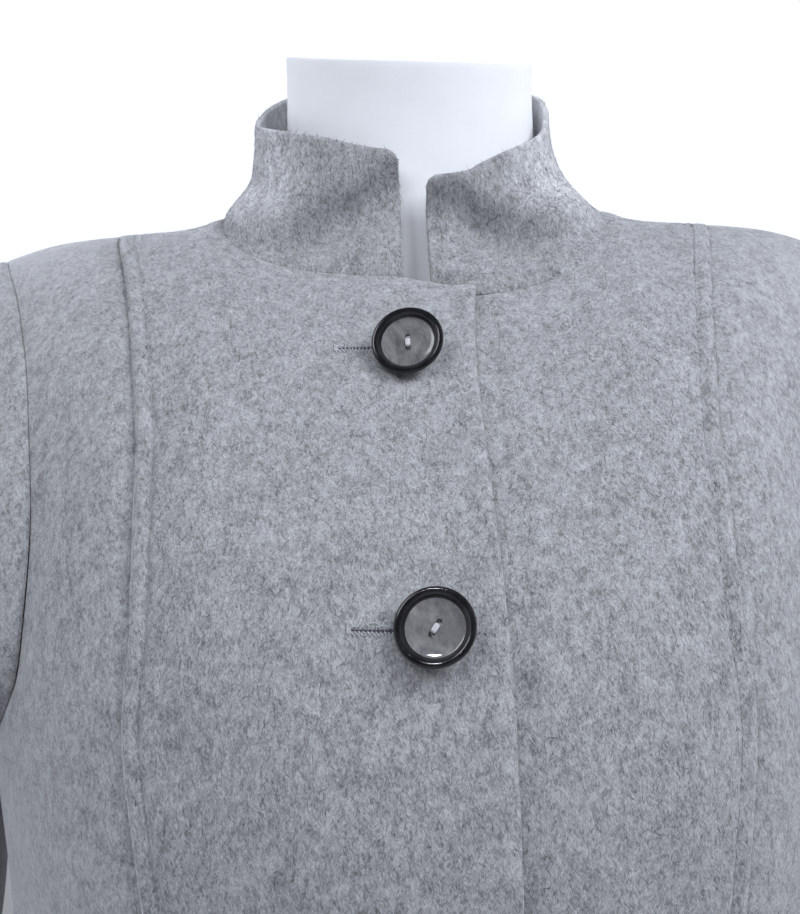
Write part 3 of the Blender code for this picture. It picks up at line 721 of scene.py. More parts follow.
def form_cover():
    mat, tree, p = new_material("form_cover")
    at = node(tree, "ShaderNodeTexCoord").outputs["Object"]
    cloud = noise(tree, at, (60, 60, 60), (0, 0, 0), 3.0, 0.55)
    weave = noise(tree, at, (1500, 1500, 700), (0, 0, 0), 2.0, 0.5)
    tone = blend_sum(tree, [(cloud, 0.6), (weave, 0.4)])
    tree.links.new(ramp(tree, tone, [
        (0.3, (0.71, 0.72, 0.74)), (0.7, (0.75, 0.76, 0.78))]), p.inputs["Base Color"])
    p.inputs["Roughness"].default_value = 0.62
    p.inputs["Specular IOR Level"].default_value = 0.3
    tree.links.new(bump(tree, weave, 0.0002, 0.12), p.inputs["Normal"])
    return mat


def steel(name, rough, bright):
    mat, tree, p = new_material(name)
    at = node(tree, "ShaderNodeTexCoord").outputs["Object"]
    brushed = noise(tree, at, (60, 60, 4000), (0, 0, 0), 3.0, 0.6)
    cloud = noise(tree, at, (14, 14, 14), (0, 0, 0), 2.0, 0.5)
    tone = blend_sum(tree, [(brushed, 0.6), (cloud, 0.5)])
    tree.links.new(ramp(tree, tone, [
        (0.25, tuple(c * 0.86 for c in bright)), (0.75, bright)]), p.inputs["Base Color"])
    p.inputs["Metallic"].default_value = 1.0
    worn = node(tree, "ShaderNodeMapRange")
    worn.inputs["To Min"].default_value = rough * 0.75
    worn.inputs["To Max"].default_value = rough * 1.3
    tree.links.new(tone, worn.inputs["Value"])
    tree.links.new(worn.outputs["Result"], p.inputs["Roughness"])
    tree.links.new(bump(tree, brushed, 0.00008, 0.2), p.inputs["Normal"])
    return mat


def paint(name, light, dark):
    mat, tree, p = new_material(name)
    at = node(tree, "ShaderNodeTexCoord").outputs["Object"]
    cloud = noise(tree, at, (12, 12, 12), (0, 0, 0), 3.0, 0.55)
    peel = noise(tree, at, (700, 700, 700), (0, 0, 0), 2.0, 0.5)
    tree.links.new(ramp(tree, cloud, [(0.3, dark), (0.7, light)]), p.inputs["Base Color"])
    p.inputs["Roughness"].default_value = 0.38
    p.inputs["Specular IOR Level"].default_value = 0.5
    tree.links.new(bump(tree, peel, 0.0001, 0.15), p.inputs["Normal"])
    return mat


WOOL = wool()
PALE_FIBRES = fibre_wool("wool_fibres_pale", (0.29, 0.295, 0.31), (0.43, 0.436, 0.455))
DARK_FIBRES = fibre_wool("wool_fibres_dark", (0.095, 0.097, 0.104), (0.20, 0.204, 0.216))
THREAD = thread_cloth("sewing_thread", (0.33, 0.335, 0.35), (0.20, 0.205, 0.22))
HOLE_THREAD = thread_cloth("buttonhole_thread", (0.45, 0.455, 0.47), (0.24, 0.245, 0.26))
PALE_THREAD = thread_cloth("loose_thread", (0.56, 0.565, 0.58), (0.40, 0.405, 0.42))
# painted shade: the buttonhole slits are a dark sheet standing in for the shadow in the cut
SLIT = thread_cloth("slit_shade", (0.07, 0.07, 0.085), (0.035, 0.035, 0.045))
RIM = horn("horn_rim", (0.014, 0.0142, 0.0155), (0.005, 0.0052, 0.006), 0.13, 160, 0.5, 0.0)
DISH = horn("horn_dish", (0.205, 0.203, 0.203), (0.082, 0.082, 0.085), 0.09, 110, 0.45, 0.0)
COVER = form_cover()
POLE_STEEL = steel("pole_steel", 0.26, (0.72, 0.73, 0.75))
BASE_STEEL = paint("base_steel", (0.86, 0.87, 0.88), (0.80, 0.81, 0.82))

# ------------------------------------------------------------------ body panels
EDGE_RUN = [0.0, 0.16, 0.4, 0.75, 1.15, 1.6, 2.2, 3.0, 4.2, 5.8]


def columns(width, step, fine_left=True, fine_right=True, seam_zone=0.0, seam_step=0.6):
    """Column places 0..1 over a panel of about that width, closer at its edges."""
    left = EDGE_RUN if fine_left else [0.0]
    right = [width - d for d in EDGE_RUN[::-1]] if fine_right else [width]
    if seam_zone:
        right = list(np.arange(width - seam_zone, right[0] - 0.3, seam_step)) + right
    mid = np.arange(left[-1] + step, right[0] - 0.5 * step, step)
    return np.array(left + list(mid) + right) / width


def upper_rows(step, length=235.0):
    n = int((length - EDGE_RUN[-1]) / step)
    return np.linspace(0, 1, n + 1)[1:]


def lower_levels(first, second):
    a = np.arange(UNDERARM_Z - first, 1106.0, -first)
    b = np.linspace(a[-1], HEM_Z + 8.0, int((a[-1] - HEM_Z) / second))[1:]
    c = [HEM_Z + d for d in (6.0, 4.4, 3.2, 2.2, 1.5, 0.9, 0.4, 0.0)]
    return np.concatenate([a, b, c])


def panel(front, tops, left, right, by_angle, low, u, up_step, low_z):
    """Panel points row by row, from its top edge to the hem."""
    n = len(tops) - 1
    corner = NECK_HALF - UNDER_COLLAR
    tops = [corner if t == NECK_HALF else t for t in tops]
    top = np.interp(u * n, np.arange(n + 1), tops)
    for i in range(n):
        if tops[i + 1] == corner:
            t = u * n - i
            near = (t > 0) & (t < 1)
            top[near] = corner - (corner - tops[i]) * (1 - t[near]) ** 2.5
    end = 0.0
    if front:
        end = RIGHT_COLLAR_END if low == NECK_RIGHT_Z else LEFT_COLLAR_END
    inset = UNDER_COLLAR * (ease(end + 0.3, end + 5.0, top) if front else np.ones_like(top))
    z0 = top_z(front, top, low, inset)
    if by_angle:
        lo0, hi0, start = angle_of(left(z0), z0), angle_of(right(z0), z0), angle_of(top, z0)
    else:
        lo0, hi0, start = left(z0), right(z0), top
    f0 = (start - lo0) / (hi0 - lo0)
    f0[0], f0[-1] = 0.0, 1.0

    def place(z):
        lo, hi = left(z), right(z)
        if by_angle:
            lo, hi = angle_of(lo, z), angle_of(hi, z)
        f = f0 + (u - f0) * ease(0.0, 1.0, (z0 - z) / (z0 - UNDERARM_Z))
        x = lo + (hi - lo) * f
        if by_angle:
            x = side_of(x, z)
        return np.stack([x, skin(front, x, z), z], -1)

    s = np.linspace(0, 1, 700) ** 2.6
    fine = place(z0 + (UNDERARM_Z - z0) * s[:, None])
    ridge_top = np.abs(top) >= corner
    fine[0, ridge_top, 1] = RIDGE_Y
    run = run_along(fine, 0)
    share = upper_rows(up_step)
    upper = []
    for j in range(len(u)):
        total = run[-1, j]
        want = np.concatenate([EDGE_RUN, EDGE_RUN[-1] + (total - EDGE_RUN[-1]) * share])
        upper.append(np.stack(
            [np.interp(want, run[:, j], fine[:, j, k]) for k in range(3)], -1))
    upper = np.array(upper).transpose(1, 0, 2)
    lower = place(np.repeat(low_z[:, None], len(u), 1))
    return np.concatenate([upper, lower])


def mirrored(points):
    return points[:, ::-1] * np.array([-1.0, 1.0, 1.0])


def lap_step(x, way):
    t = np.clip((90.0 - np.abs(x)) / (90.0 - 34.0), 0, 1)
    return way * LAP_STEP * t * t * (3 - 2 * t)


def stand_back(points, gap, sides):
    out = points.copy()
    for side in sides:
        a, b = {
            "left": (out[:, 0], out[:, 1]), "right": (out[:, -1], out[:, -2]),
            "top": (out[0], out[1]),
        }[side]
        d = b - a
        length = np.linalg.norm(d, axis=1, keepdims=True)
        a += d / length * gap
    return out


lap = lambda z: -edge_at(z)
right_tops = [-24.4, -13.0, -2.0, RIGHT_COLLAR_END] + NECK_COLS + SHOULDER_COLS
left_tops = [-24.4, -13.0, -3.0, LEFT_COLLAR_END] + NECK_COLS + SHOULDER_COLS
back_half = [0.0, 22.0, 42.0] + NECK_COLS[3:] + SHOULDER_COLS + CAP_COLS[1:]

low_fine, low_plain = lower_levels(2.6, 12.0), lower_levels(5.0, 12.0)
u_centre = columns(140.0, 1.75, seam_zone=12.0)
u_neck = np.concatenate([np.linspace(9 / 15, 10 / 15, 9), np.linspace(10 / 15, 11 / 15, 26),
                         np.linspace(11 / 15, 12 / 15, 14)])
u_centre = np.unique(np.concatenate(
    [u_centre[(u_centre < 0.6) | (u_centre > 0.8)], u_neck]).round(6))
u_side = columns(110.0, 2.6)
u_back = columns(260.0, 5.0, fine_left=False)
centre_r = panel(True, right_tops, lap, panel_seam, False, NECK_RIGHT_Z, u_centre, 2.0, low_fine)
centre_l = panel(True, left_tops, lap, panel_seam, False, NECK_LEFT_Z, u_centre, 2.0, low_fine)
side_f = panel(True, CAP_COLS, panel_seam, armhole_or_side(True), True, NECK_LEFT_Z, u_side, 2.2,
               low_fine)
back_l = panel(False, back_half, lambda z: 0.0 * z, armhole_or_side(False), True, None,
               u_back, 3.4, low_plain)
back_l[:, 0, 0] = 0.0

# name: points, is front, lap way, which side is the panel seam, rolled sides
PANELS = {
    "front_right_centre": (mirrored(centre_r), True, 1.0, "left"),
    "front_right_side": (mirrored(side_f), True, 0.0, "right"),
    "front_left_centre": (centre_l, True, -1.0, "right"),
    "front_left_side": (side_f, True, 0.0, "left"),
    "back": (np.concatenate([mirrored(back_l), back_l[:, 1:]], axis=1), False, 0.0, None),
}
uneven = wave(5, 5, 25.0, 90.0)
puff_wave = wave(8, 6, 12.0, 60.0)


def seam_puff(d, z):
    """Cloth over a topstitched seam allowance: raised strip, then the stitched groove."""
    strip = ease(0.1, 2.4, d) * (1 - ease(4.4, 7.2, d)) * (1.25 + 0.28 * puff_wave(z))
    groove = np.exp(-((d - 7.4) / 1.4) ** 2) * (0.8 + 0.18 * puff_wave(z + 400.0))
    return strip - groove


outer_of = {}


def build_panel(name):
    points, front, way, seam_side = PANELS[name]
    x, y, z = points[..., 0], points[..., 1], points[..., 2]
    n = skin_normal(front, x, z)
    across, down = run_along(points, 1), run_along(points, 0)
    d_left, d_right = across, across[:, -1:] - across
    d_top, d_hem = down, down[-1:] - down
    lift = lap_step(x, way) + body_relief(front, x, y, z)
    r_left = r_right = 0.7
    if name.endswith("centre"):
        d_seam = d_left if seam_side == "left" else d_right
        lift = lift + seam_puff(d_seam, z) * ease(5.0, 42.0, d_top)
        d_edge = d_right if seam_side == "left" else d_left
        if way > 0:
            lift = lift + (1.7 + 0.35 * uneven(z)) * np.exp(-(d_edge / 8.0) ** 2)
        if seam_side == "left":
            r_right = 2.8
        else:
            r_left = 2.2
    if name.endswith("side"):
        # the side front lies lower and runs a little under the stitched edge
        d_seam = d_left if seam_side == "left" else d_right
        lift = lift - (1.9 * np.exp(-(d_seam / 6.5) ** 2)) * ease(3.0, 30.0, d_top)
        first, second = (0, 1) if seam_side == "left" else (-1, -2)
        way_under = points[:, first] - points[:, second]
        way_under = way_under / np.linalg.norm(way_under, axis=1, keepdims=True)
        under = 2.2 * np.clip(1 - d_seam / 9.0, 0, 1) ** 2 * ease(3.0, 30.0, d_top)
        points = points + way_under[:, None] * under[..., None]
    q = closing([(d_left, r_left), (d_right, r_right), (d_top, 0.9), (d_hem, 2.2)])
    half = WALL / 2
    mid = points + n * (lift - half)[..., None]
    outer, inner = mid + n * (half * q)[..., None], mid - n * (half * q)[..., None]
    sides = ["left", "right", "top"]
    outer, inner = (stand_back(g, SEAM_GAP, sides) for g in (outer, inner))
    edge = np.zeros(q.shape, bool)
    edge[[0, -1]] = edge[:, [0, -1]] = True
    inner[edge] = outer[edge]
    outer_of[name] = (outer, n, down, across)
    return shell(name + "_cloth", outer, inner, WOOL)


made = {name: build_panel(name) for name in PANELS}


# ------------------------------------------------------------------ collar
def neckline(front, xs, low, way):
    z = top_z(front, xs, low)
    y = skin(front, xs, z)
    p = np.stack([xs, y, z], -1)
    return p + skin_normal(front, xs, z) * lap_step(xs, way)[:, None]


def collar_top(p, reach_front):
    t = COLLAR_TOP
    front = p[:, 1] < RIDGE_Y
    reach = np.where(front, reach_front, NECK_BACK)
    dx, dy = p[:, 0] / NECK_HALF, (p[:, 1] - RIDGE_Y) / reach
    ang = np.arctan2(np.abs(dx), np.abs(dy))
    s, c = np.sin(ang), np.cos(ang)
    r = (s ** t["power"] + c ** t["power"]) ** (-1 / t["power"])
    on_right = p[:, 0] < 0
    out = np.where(on_right, t["half_right"], t["half_left"]) * s * r
    y = np.where(front, t["mid_y"] - t["front"] * c * r, t["mid_y"] + t["back"] * c * r)
    bearing = np.degrees(np.arctan2(out, t["mid_y"] - y))
    z = np.where(on_right, rise_right(bearing), rise_left(bearing))
    return np.stack([t["mid_x"] + np.where(on_right, -out, out), y, z], -1), bearing


def collar_grid():
    ease_out = lambda n: np.sin(np.linspace(0, math.pi / 2, n))
    xr = -(RIGHT_COLLAR_END + (NECK_HALF - RIGHT_COLLAR_END) * ease_out(260))
    right = neckline(True, -xr, NECK_RIGHT_Z, 1.0) * (-1, 1, 1)
    xb = NECK_HALF * np.sin(np.linspace(-math.pi / 2, math.pi / 2, 500))
    back = neckline(False, xb, None, 0.0)
    xl = LEFT_COLLAR_END + (NECK_HALF - LEFT_COLLAR_END) * ease_out(260)
    left = neckline(True, xl, NECK_LEFT_Z, -1.0)[::-1].copy()
    near = 1 - ease(LAP_EDGE + 2.0, LAP_EDGE + 12.0, left[:, 0])
    left += near[:, None] * np.array([0.0, 1.2, 0.9])
    reach_front = RIDGE_Y - right[0, 1]
    line = np.concatenate([right, back[1:-1], left])
    run = run_along(line, 0)
    total = run[-1]
    step = 1.5
    places = np.concatenate([
        EDGE_RUN, np.linspace(EDGE_RUN[-1], total - EDGE_RUN[-1],
                              int((total - 2 * EDGE_RUN[-1]) / step))[1:-1],
        total - np.array(EDGE_RUN[::-1])])
    base = np.stack([np.interp(places, run, line[:, k]) for k in range(3)], -1)
    # neighbouring stretches meet at the shoulder, smoothed over a few points
    for _ in range(2):
        base[1:-1] = 0.25 * base[:-2] + 0.5 * base[1:-1] + 0.25 * base[2:]
    tops, bearing = collar_top(base, reach_front)
    breaks = collar_break(bearing)
    ax = np.abs(base[:, 0])
    frontal = base[:, 1] < RIDGE_Y - 40.0
    ends_r = np.interp(ax, [RIGHT_COLLAR_END, 16.0, 30.0, 46.0], [1.0, 0.8, 0.4, 0.0])
    ends_l = np.interp(ax, [LEFT_COLLAR_END, 16.0, 30.0, 46.0], [1.0, 0.8, 0.4, 0.0])
    keep = np.where(base[:, 0] < 0, ends_r, ends_l) * frontal
    tops[:, 0] += keep * (base[:, 0] - tops[:, 0])
    for _ in range(10):
        tops[1:-1] = 0.25 * tops[:-2] + 0.5 * tops[1:-1] + 0.25 * tops[2:]
    facing = base - np.array([0.0, RIDGE_Y, 0.0])
    facing[:, 2] = 0
    facing = unit(facing)
    height = np.linalg.norm(tops - base, axis=1)
    # rounded upper corners of the two ends
    R = 5.2
    from_end = np.minimum(places, total - places)
    drop = np.where(from_end < R, R - np.sqrt(np.maximum(R * R - (R - from_end) ** 2, 0)), 0.0)
    limit = 1 - drop / height
    mean = 62.0
    low_run = [d / mean for d in EDGE_RUN]
    high_run = [1 - d / mean for d in EDGE_RUN[::-1]]
    shares = np.array(low_run + list(np.linspace(low_run[-1], high_run[0], 36)[1:-1]) + high_run)
    # the sides lean in more evenly than the fronts and the back, most of all the left one
    even = np.where(base[:, 0] < 0, 0.35, 1.0)
    even = even * ease(52.0, 78.0, bearing) * (1 - ease(112.0, 150.0, bearing))
    rows, fold_shade = [], []
    for share in shares:
        k = share * limit
        lean = ease(breaks - 0.25, breaks + 0.27, k)
        lean = lean + even * (1 - (1 - np.clip(k, 0, 1)) ** 2.6 - lean)
        row = base + (tops - base) * lean[:, None]
        row[:, 2] = base[:, 2] - 0.6 + (tops[:, 2] - base[:, 2] + 0.6) * k
        swell = np.zeros(len(k))
        for side, at, wide, share_at, tall, height in COLLAR_SWELLS:
            on = (base[:, 0] * side > 0) * 1.0
            swell += on * height * np.exp(-((bearing - at) / wide) ** 2
                                          - ((k - share_at) / tall) ** 2)
        on_right = base[:, 0] < 0
        fold = np.where(on_right, fold_right(bearing), fold_left(bearing))
        over = (k - fold) * 58.0 / FOLD_WIDE
        strength = np.where(on_right, FOLD_RIGHT, FOLD_LEFT)
        strength = strength * (1 + np.where(on_right, 0.5, 0.80) * ease(16.0, 60.0, bearing))
        strength = strength * (1 - ease(62.0, 84.0, bearing))
        swell += strength * over * np.exp(-over ** 2)
        # painted shade: a mask along each fold, used to darken the wool there
        fold_shade.append(np.exp(-over ** 2) * (1 - ease(60.0, 76.0, bearing)))
        rows.append(row + facing * (swell * ease(0.0, 0.1, k))[:, None])
    return np.array(rows), shares, bearing, np.array(fold_shade)


def grid_normals(points, outward, wrap=False):
    if wrap:
        du = np.roll(points, -1, axis=1) - np.roll(points, 1, axis=1)
    else:
        du = np.gradient(points, axis=1)
    dv = np.gradient(points, axis=0)
    n = unit(np.cross(dv, du))
    if (n * outward).sum() < 0:
        n = -n
    return n


def build_collar():
    pts, shares, bearing, fold_shade = collar_grid()
    outward = pts - np.stack(
        [0 * pts[..., 0], 0 * pts[..., 1] + RIDGE_Y, pts[..., 2]], -1)
    n = grid_normals(pts, outward)
    n[0] = unit(n[0] * np.array([1.0, 1.0, 0.15]))
    across, down = run_along(pts, 1), run_along(pts, 0)
    d_l, d_r = across, across[:, -1:] - across
    d_base, d_top = down, down[-1:] - down
    q = closing([(d_l, 2.2), (d_r, 2.2), (d_base, 0.9), (d_top, 2.4)])
    half = 0.375 * COLLAR_WALL
    mid = pts - n * half
    outer, inner = mid + n * (half * q)[..., None], mid - n * (half * q)[..., None]
    outer_of["collar"] = (outer, n, down, across)
    piece = shell("collar_cloth", outer, inner, WOOL)
    # painted light in the wool's colour: the collar's sides, where backlight catches the nap, are
    # made paler (painted sheen); the upper fronts and the folds are made darker (painted shade)
    turned = ease(46.0, 70.0, bearing) * (1 - ease(112.0, 150.0, bearing))
    on_left = pts[0, :, 0] > 0
    painted_tone = ((0.42 + 0.13 * on_left) * turned)[None, :] * ease(-0.04, 0.16, shares)[:, None]
    painted_tone = painted_tone - 0.05 * (1 - ease(46.0, 64.0, bearing))[None, :]
    painted_tone = painted_tone - (0.12 + 0.06 * on_left + 0.20 * ease(40.0, 56.0, bearing))[None, :] * fold_shade
    values = np.zeros(len(piece.data.vertices), np.float32)
    values[:painted_tone.size] = painted_tone.ravel()
    values[painted_tone.size:] = 0.9     # painted light: the inner face, which lies in shade, is made paler
    piece.data.attributes.new("painted_sheen_and_shade", "FLOAT", "POINT").data.foreach_set("value", values)
    return piece


made["collar"] = build_collar()


# ------------------------------------------------------------------ sleeves
def build_sleeve(name, sign):
    zf = UNDERARM_Z + (1389.0 - UNDERARM_Z) * (1 - np.sin(np.linspace(0, math.pi / 2, 300)) ** 1.6)
    front = np.stack([armhole_front(zf), 0 * zf, zf], -1)
    front[:, 1] = skin(True, front[:, 0], zf)
    front[0, 1] = RIDGE_Y
    back = np.stack([armhole_back(zf), 0 * zf, zf], -1)
    back[:, 1] = skin(False, back[:, 0], zf)
    back[0, 1] = RIDGE_Y
    body_f, body_b = skin_normal(True, front[:, 0], zf), skin_normal(False, back[:, 0], zf)
    hole = np.concatenate([front, back[-2:0:-1]])
    body = np.concatenate([body_f, body_b[-2:0:-1]])
    closed = np.vstack([hole, hole[:1]])
    run = run_along(closed, 0)
    half_run, whole = run[len(front) - 1], run[-1]
    ang_all = np.where(run <= half_run, math.pi * run / half_run,
                       math.pi + math.pi * (run - half_run) / (whole - half_run))
    count = 100
    ang = np.linspace(0, 2 * math.pi, count + 1)[:-1]
    body_c = np.vstack([body, body[:1]])
    hole = np.stack([np.interp(ang, ang_all, closed[:, k]) for k in range(3)], -1)
    body = unit(np.stack([np.interp(ang, ang_all, body_c[:, k]) for k in range(3)], -1))
    z0, cx, cy, hx, hy = SLEEVE[0]
    first = np.stack([cx + hx * np.cos(ang), cy - hy * np.sin(ang), 0 * ang + z0], -1)
    share = (1 + np.cos(ang)) / 2
    start = hole - 0.3 * np.stack([0 * ang + 1.0, 0 * ang, 0 * ang], -1)
    leave = np.stack([14 + 22 * share, 0 * ang, 3 - 13 * share], -1)
    arrive = np.stack([0 * ang, 0 * ang, 22 + 78 * share], -1)
    steps = np.concatenate([np.array(EDGE_RUN) / 190.0,
                            np.linspace(EDGE_RUN[-1] / 190.0, 1.0, 44)[1:]])
    rows = [(1 - t) ** 3 * start + 3 * t * (1 - t) ** 2 * (start + leave)
            + 3 * t * t * (1 - t) * (first + arrive) + t ** 3 * first for t in steps]
    cols = [curve(SLEEVE, k) for k in range(1, 5)]
    cuff = SLEEVE[-1][0]
    levels = np.concatenate([np.linspace(z0, cuff + 7.0, 52)[1:],
                             [cuff + d for d in (5.0, 3.4, 2.3, 1.5, 0.9, 0.4, 0.0)]])
    for z in levels:
        cx, cy, hx, hy = (float(c(z)) for c in cols)
        rows.append(np.stack([cx + hx * np.cos(ang), cy - hy * np.sin(ang), 0 * ang + z], -1))
    pts = np.array(rows)
    mid = pts.mean(axis=1, keepdims=True)
    n = grid_normals(pts, pts - mid, wrap=True)
    n[0] = unit(n[0] + body)
    z = pts[..., 2]
    bearing = np.degrees((ang + math.pi) % (2 * math.pi) - math.pi)[None, :] + 0 * z
    lift = np.zeros_like(z)
    girth = 1.15      # mm of cloth per degree round the sleeve
    shift = 0.0 if sign > 0 else 7.0
    for a0, z_0, a1, z_1, width, height in SLEEVE_CREASES:
        d, t = capsule(bearing * girth, z + shift, a0 * girth, z_0, a1 * girth, z_1)
        lift += height * np.exp(-(d / width) ** 2)
    down = run_along(pts, 0)
    # the cap stands a little proud of the armhole seam
    lift += 1.3 * ease(0.6, 4.0, down) * (1 - ease(9.0, 34.0, down)) * share[None, :]
    q = closing([(down, 0.9), (down[-1:] - down, 2.2)])
    half = WALL / 2
    centre = pts + n * (lift - half)[..., None]
    outer, inner = centre + n * (half * q)[..., None], centre - n * (half * q)[..., None]
    flip = np.array([sign, 1.0, 1.0])
    outer, inner = outer * flip, inner * flip
    outer_of[name] = (outer, n * flip, down, None)
    return shell(name + "_cloth", outer, inner, WOOL, wrap=True)


made["sleeve_left"] = build_sleeve("sleeve_left", 1)
made["sleeve_right"] = build_sleeve("sleeve_right", -1)

for name, piece in made.items():
    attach(piece, "root")
    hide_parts(name)


# ------------------------------------------------------------------ on the lap
def on_lap(x, z, lift=0.0):
    """Points on the right front's outside, and their frame: across, up, out."""
    x, z = np.asarray(x, float), np.asarray(z, float)
    y = skin(True, x, z)
    n = skin_normal(True, x, z)
    p = np.stack([x, y, z], -1)
    p = p + n * (lap_step(x, 1.0) + body_relief(True, x, y, z) + lift)[..., None]
    side = unit(np.cross(np.array([0.0, 0.0, 1.0]), n) * -1.0)
    side = np.where(side[..., :1] < 0, -side, side)
    up = unit(np.cross(n, side))
    up = np.where(up[..., 2:] < 0, -up, up)
    return p, side, up, n


def tube(path, radius, sides=6, taper=None):
    """Verts and quads of a closed-ended tube along points."""
    path = np.asarray(path, float)
    t = unit(np.gradient(path, axis=0))
    ref = np.array([0.31, -0.77, 0.55])
    a = unit(np.cross(t, ref))
    b = np.cross(t, a)
    ang = np.linspace(0, 2 * math.pi, sides, endpoint=False)
    rad = np.full(len(path), radius) if taper is None else radius * np.asarray(taper)
    ring = (np.cos(ang)[None, :, None] * a[:, None] + np.sin(ang)[None, :, None] * b[:, None])
    verts = path[:, None] + ring * rad[:, None, None]
    m = len(path)
    verts = np.concatenate([verts.reshape(-1, 3), path[:1], path[-1:]])
    ids = np.arange(m * sides).reshape(m, sides)
    nxt = np.roll(ids, -1, axis=1)
    quads = np.stack([ids[:-1], nxt[:-1], nxt[1:], ids[1:]], -1).reshape(-1, 4)
    head, tail = m * sides, m * sides + 1
    tris = np.concatenate([
        np.stack([nxt[0], ids[0], np.full(sides, head)], -1),
        np.stack([ids[-1], nxt[-1], np.full(sides, tail)], -1)])
    return verts, quads, tris


def join_tubes(name, tubes, mat):
    verts, quads, tris, count = [], [], [], 0
    for v, q, t in tubes:
        verts.append(v)
        quads.append(q + count)
        tris.append(t + count)
        count += len(v)
    return mesh_object(name, np.concatenate(verts),
                       [np.concatenate(quads), np.concatenate(tris)], mat)


def smooth_path(points, n):
    """Points along a smooth curve through the given ones."""
    p = np.asarray(points, float)
    p = np.vstack([2 * p[0] - p[1], p, 2 * p[-1] - p[-2]])
    out = []
    segs = len(p) - 3
    for s in np.linspace(0, segs - 1e-9, n):
        i, t = int(s), s - int(s)
        a, b, c, d = p[i:i + 4]
        out.append(0.5 * (2 * b + (c - a) * t + (2 * a - 5 * b + 4 * c - d) * t * t
                          + (3 * b - a - 3 * c + d) * t ** 3))
    return np.array(out)


# Worked buttonholes: button, x and z of the outer end, z at the inner end, length
BUTTONHOLES = [
    ("1", -37.9, 1330.1, 1329.4, 30.6),
    ("2", -33.9, 1220.6, 1219.2, 30.6),
    ("3", -33.5, 1087.5, 1086.8, 30.6),
    ("4", -32.5, 953.5, 952.8, 30.6),
    ("5", -31.5, 820.4, 819.8, 30.6),
]
STITCH = 1.5


def build_buttonhole(tag, x0, z0, z1, length):
    g = np.random.default_rng(70 + int(tag))
    n = int(length / STITCH)
    xs = x0 + np.arange(n + 1) * STITCH
    zs = z0 + (z1 - z0) * np.arange(n + 1) / n
    threads, slit = [], []
    # the slit, a dark lens between the two rows of stitches: a dark sheet painted as the shade inside
    # the cut
    k = np.linspace(0, 1, 40)
    xc, zc = x0 + 1.2 + (length - 1.6) * k, z0 + (z1 - z0) * k
    open_h = 0.30 + 0.42 * np.sin(math.pi * np.clip(k * 0.72, 0, 1)) ** 1.2
    verts = []
    for side in (1.0, 0.0, -1.0):
        p, s, up, out = on_lap(xc, zc + side * open_h, 0.16 if side == 0 else 0.02)
        verts.append(p)
    verts = np.array(verts)
    ids = np.arange(3 * 40).reshape(3, 40)
    quads = np.stack([ids[:-1, :-1], ids[1:, :-1], ids[1:, 1:], ids[:-1, 1:]], -1).reshape(-1, 4)
    under = verts - np.array([0.0, -0.5, 0.0])
    all_v = np.concatenate([verts.reshape(-1, 3), under.reshape(-1, 3)])
    rim = np.concatenate([ids[0], ids[1:, -1], ids[-1, :-1][::-1], ids[1:-1, 0][::-1]])
    nxt = np.roll(rim, -1)
    wall = np.stack([rim, nxt, nxt + 120, rim + 120], -1)
    faces = np.concatenate([quads, quads[:, ::-1] + 120, wall])
    slit_obj = mesh_object(f"buttonhole_{tag}_slit", all_v, faces, SLIT)
    # stitches: short loops from the slit outward, on both sides
    for way, first, last, thick in ((1.0, 0.35, 1.5, 0.30), (-1.0, 0.35, 1.25, 0.36),
                                    (-1.0, 1.15, 2.05, 0.34)):
        for i in range(n + 1):
            if way > 0 and g.random() < 0.25:
                continue
            lean = 0.55 + g.normal(0, 0.22 if way < 0 else 0.5)
            reach = last + g.normal(0, 0.12 if way < 0 else 0.4)
            lift = 0.24 + g.uniform(-0.08, 0.14)
            w = first + (reach - first) * np.array([0.0, 0.15, 0.5, 0.85, 1.0])
            h = np.array([-0.35, lift * 0.8, lift * 1.2, lift * 0.8, -0.35])
            shift = 0.5 * STITCH if first > 1.0 else 0.0
            xx = xs[i] + shift + lean * (w - first) + g.normal(0, 0.10)
            p, s, up, out = on_lap(xx, zs[i] + way * w, h)
            threads.append(tube(smooth_path(p, 8), thick + g.uniform(-0.06, 0.06), 6))
    # bar tack over the outer end
    for i in range(4):
        zz = z0 + np.linspace(-1.5, 1.5, 7)
        p, s, up, out = on_lap(x0 + 0.15 + 0.38 * i + 0 * zz, zz,
                               0.42 * np.sqrt(np.clip(1 - (np.linspace(-1, 1, 7)) ** 4, 0, 1)) - 0.05)
        threads.append(tube(p, 0.22, 6))
    stitch_obj = join_tubes(f"buttonhole_{tag}_stitches", threads, HOLE_THREAD)
    return slit_obj, stitch_obj


small_pieces = []
for row in BUTTONHOLES:
    small_pieces += build_buttonhole(*row)

# Loose ends above the second buttonhole: x, z, lift
LOOSE_ENDS = [
    [(-32.6, 1223.8, 0.5), (-31.4, 1221.9, 0.9), (-29.8, 1221.9, 1.1), (-28.4, 1224.6, 1.2),
     (-27.8, 1225.2, 1.1), (-26.4, 1222.2, 0.8), (-24.6, 1221.7, 0.7)],
    [(-27.0, 1222.3, 0.6), (-24.0, 1222.9, 0.9), (-21.5, 1221.9, 0.7), (-19.8, 1223.6, 1.0),
     (-18.0, 1221.6, 0.5)],
    [(-23.5, 1221.4, 0.5), (-20.6, 1221.7, 0.8), (-17.6, 1220.9, 0.6)],
]
loose = []
for ends in LOOSE_ENDS:
    line = smooth_path(ends, 40)
    p, s, up, out = on_lap(line[:, 0], line[:, 1], line[:, 2])
    loose.append(tube(p, 0.13, 6))
small_pieces.append(join_tubes("buttonhole_2_loose_ends", loose, PALE_THREAD))


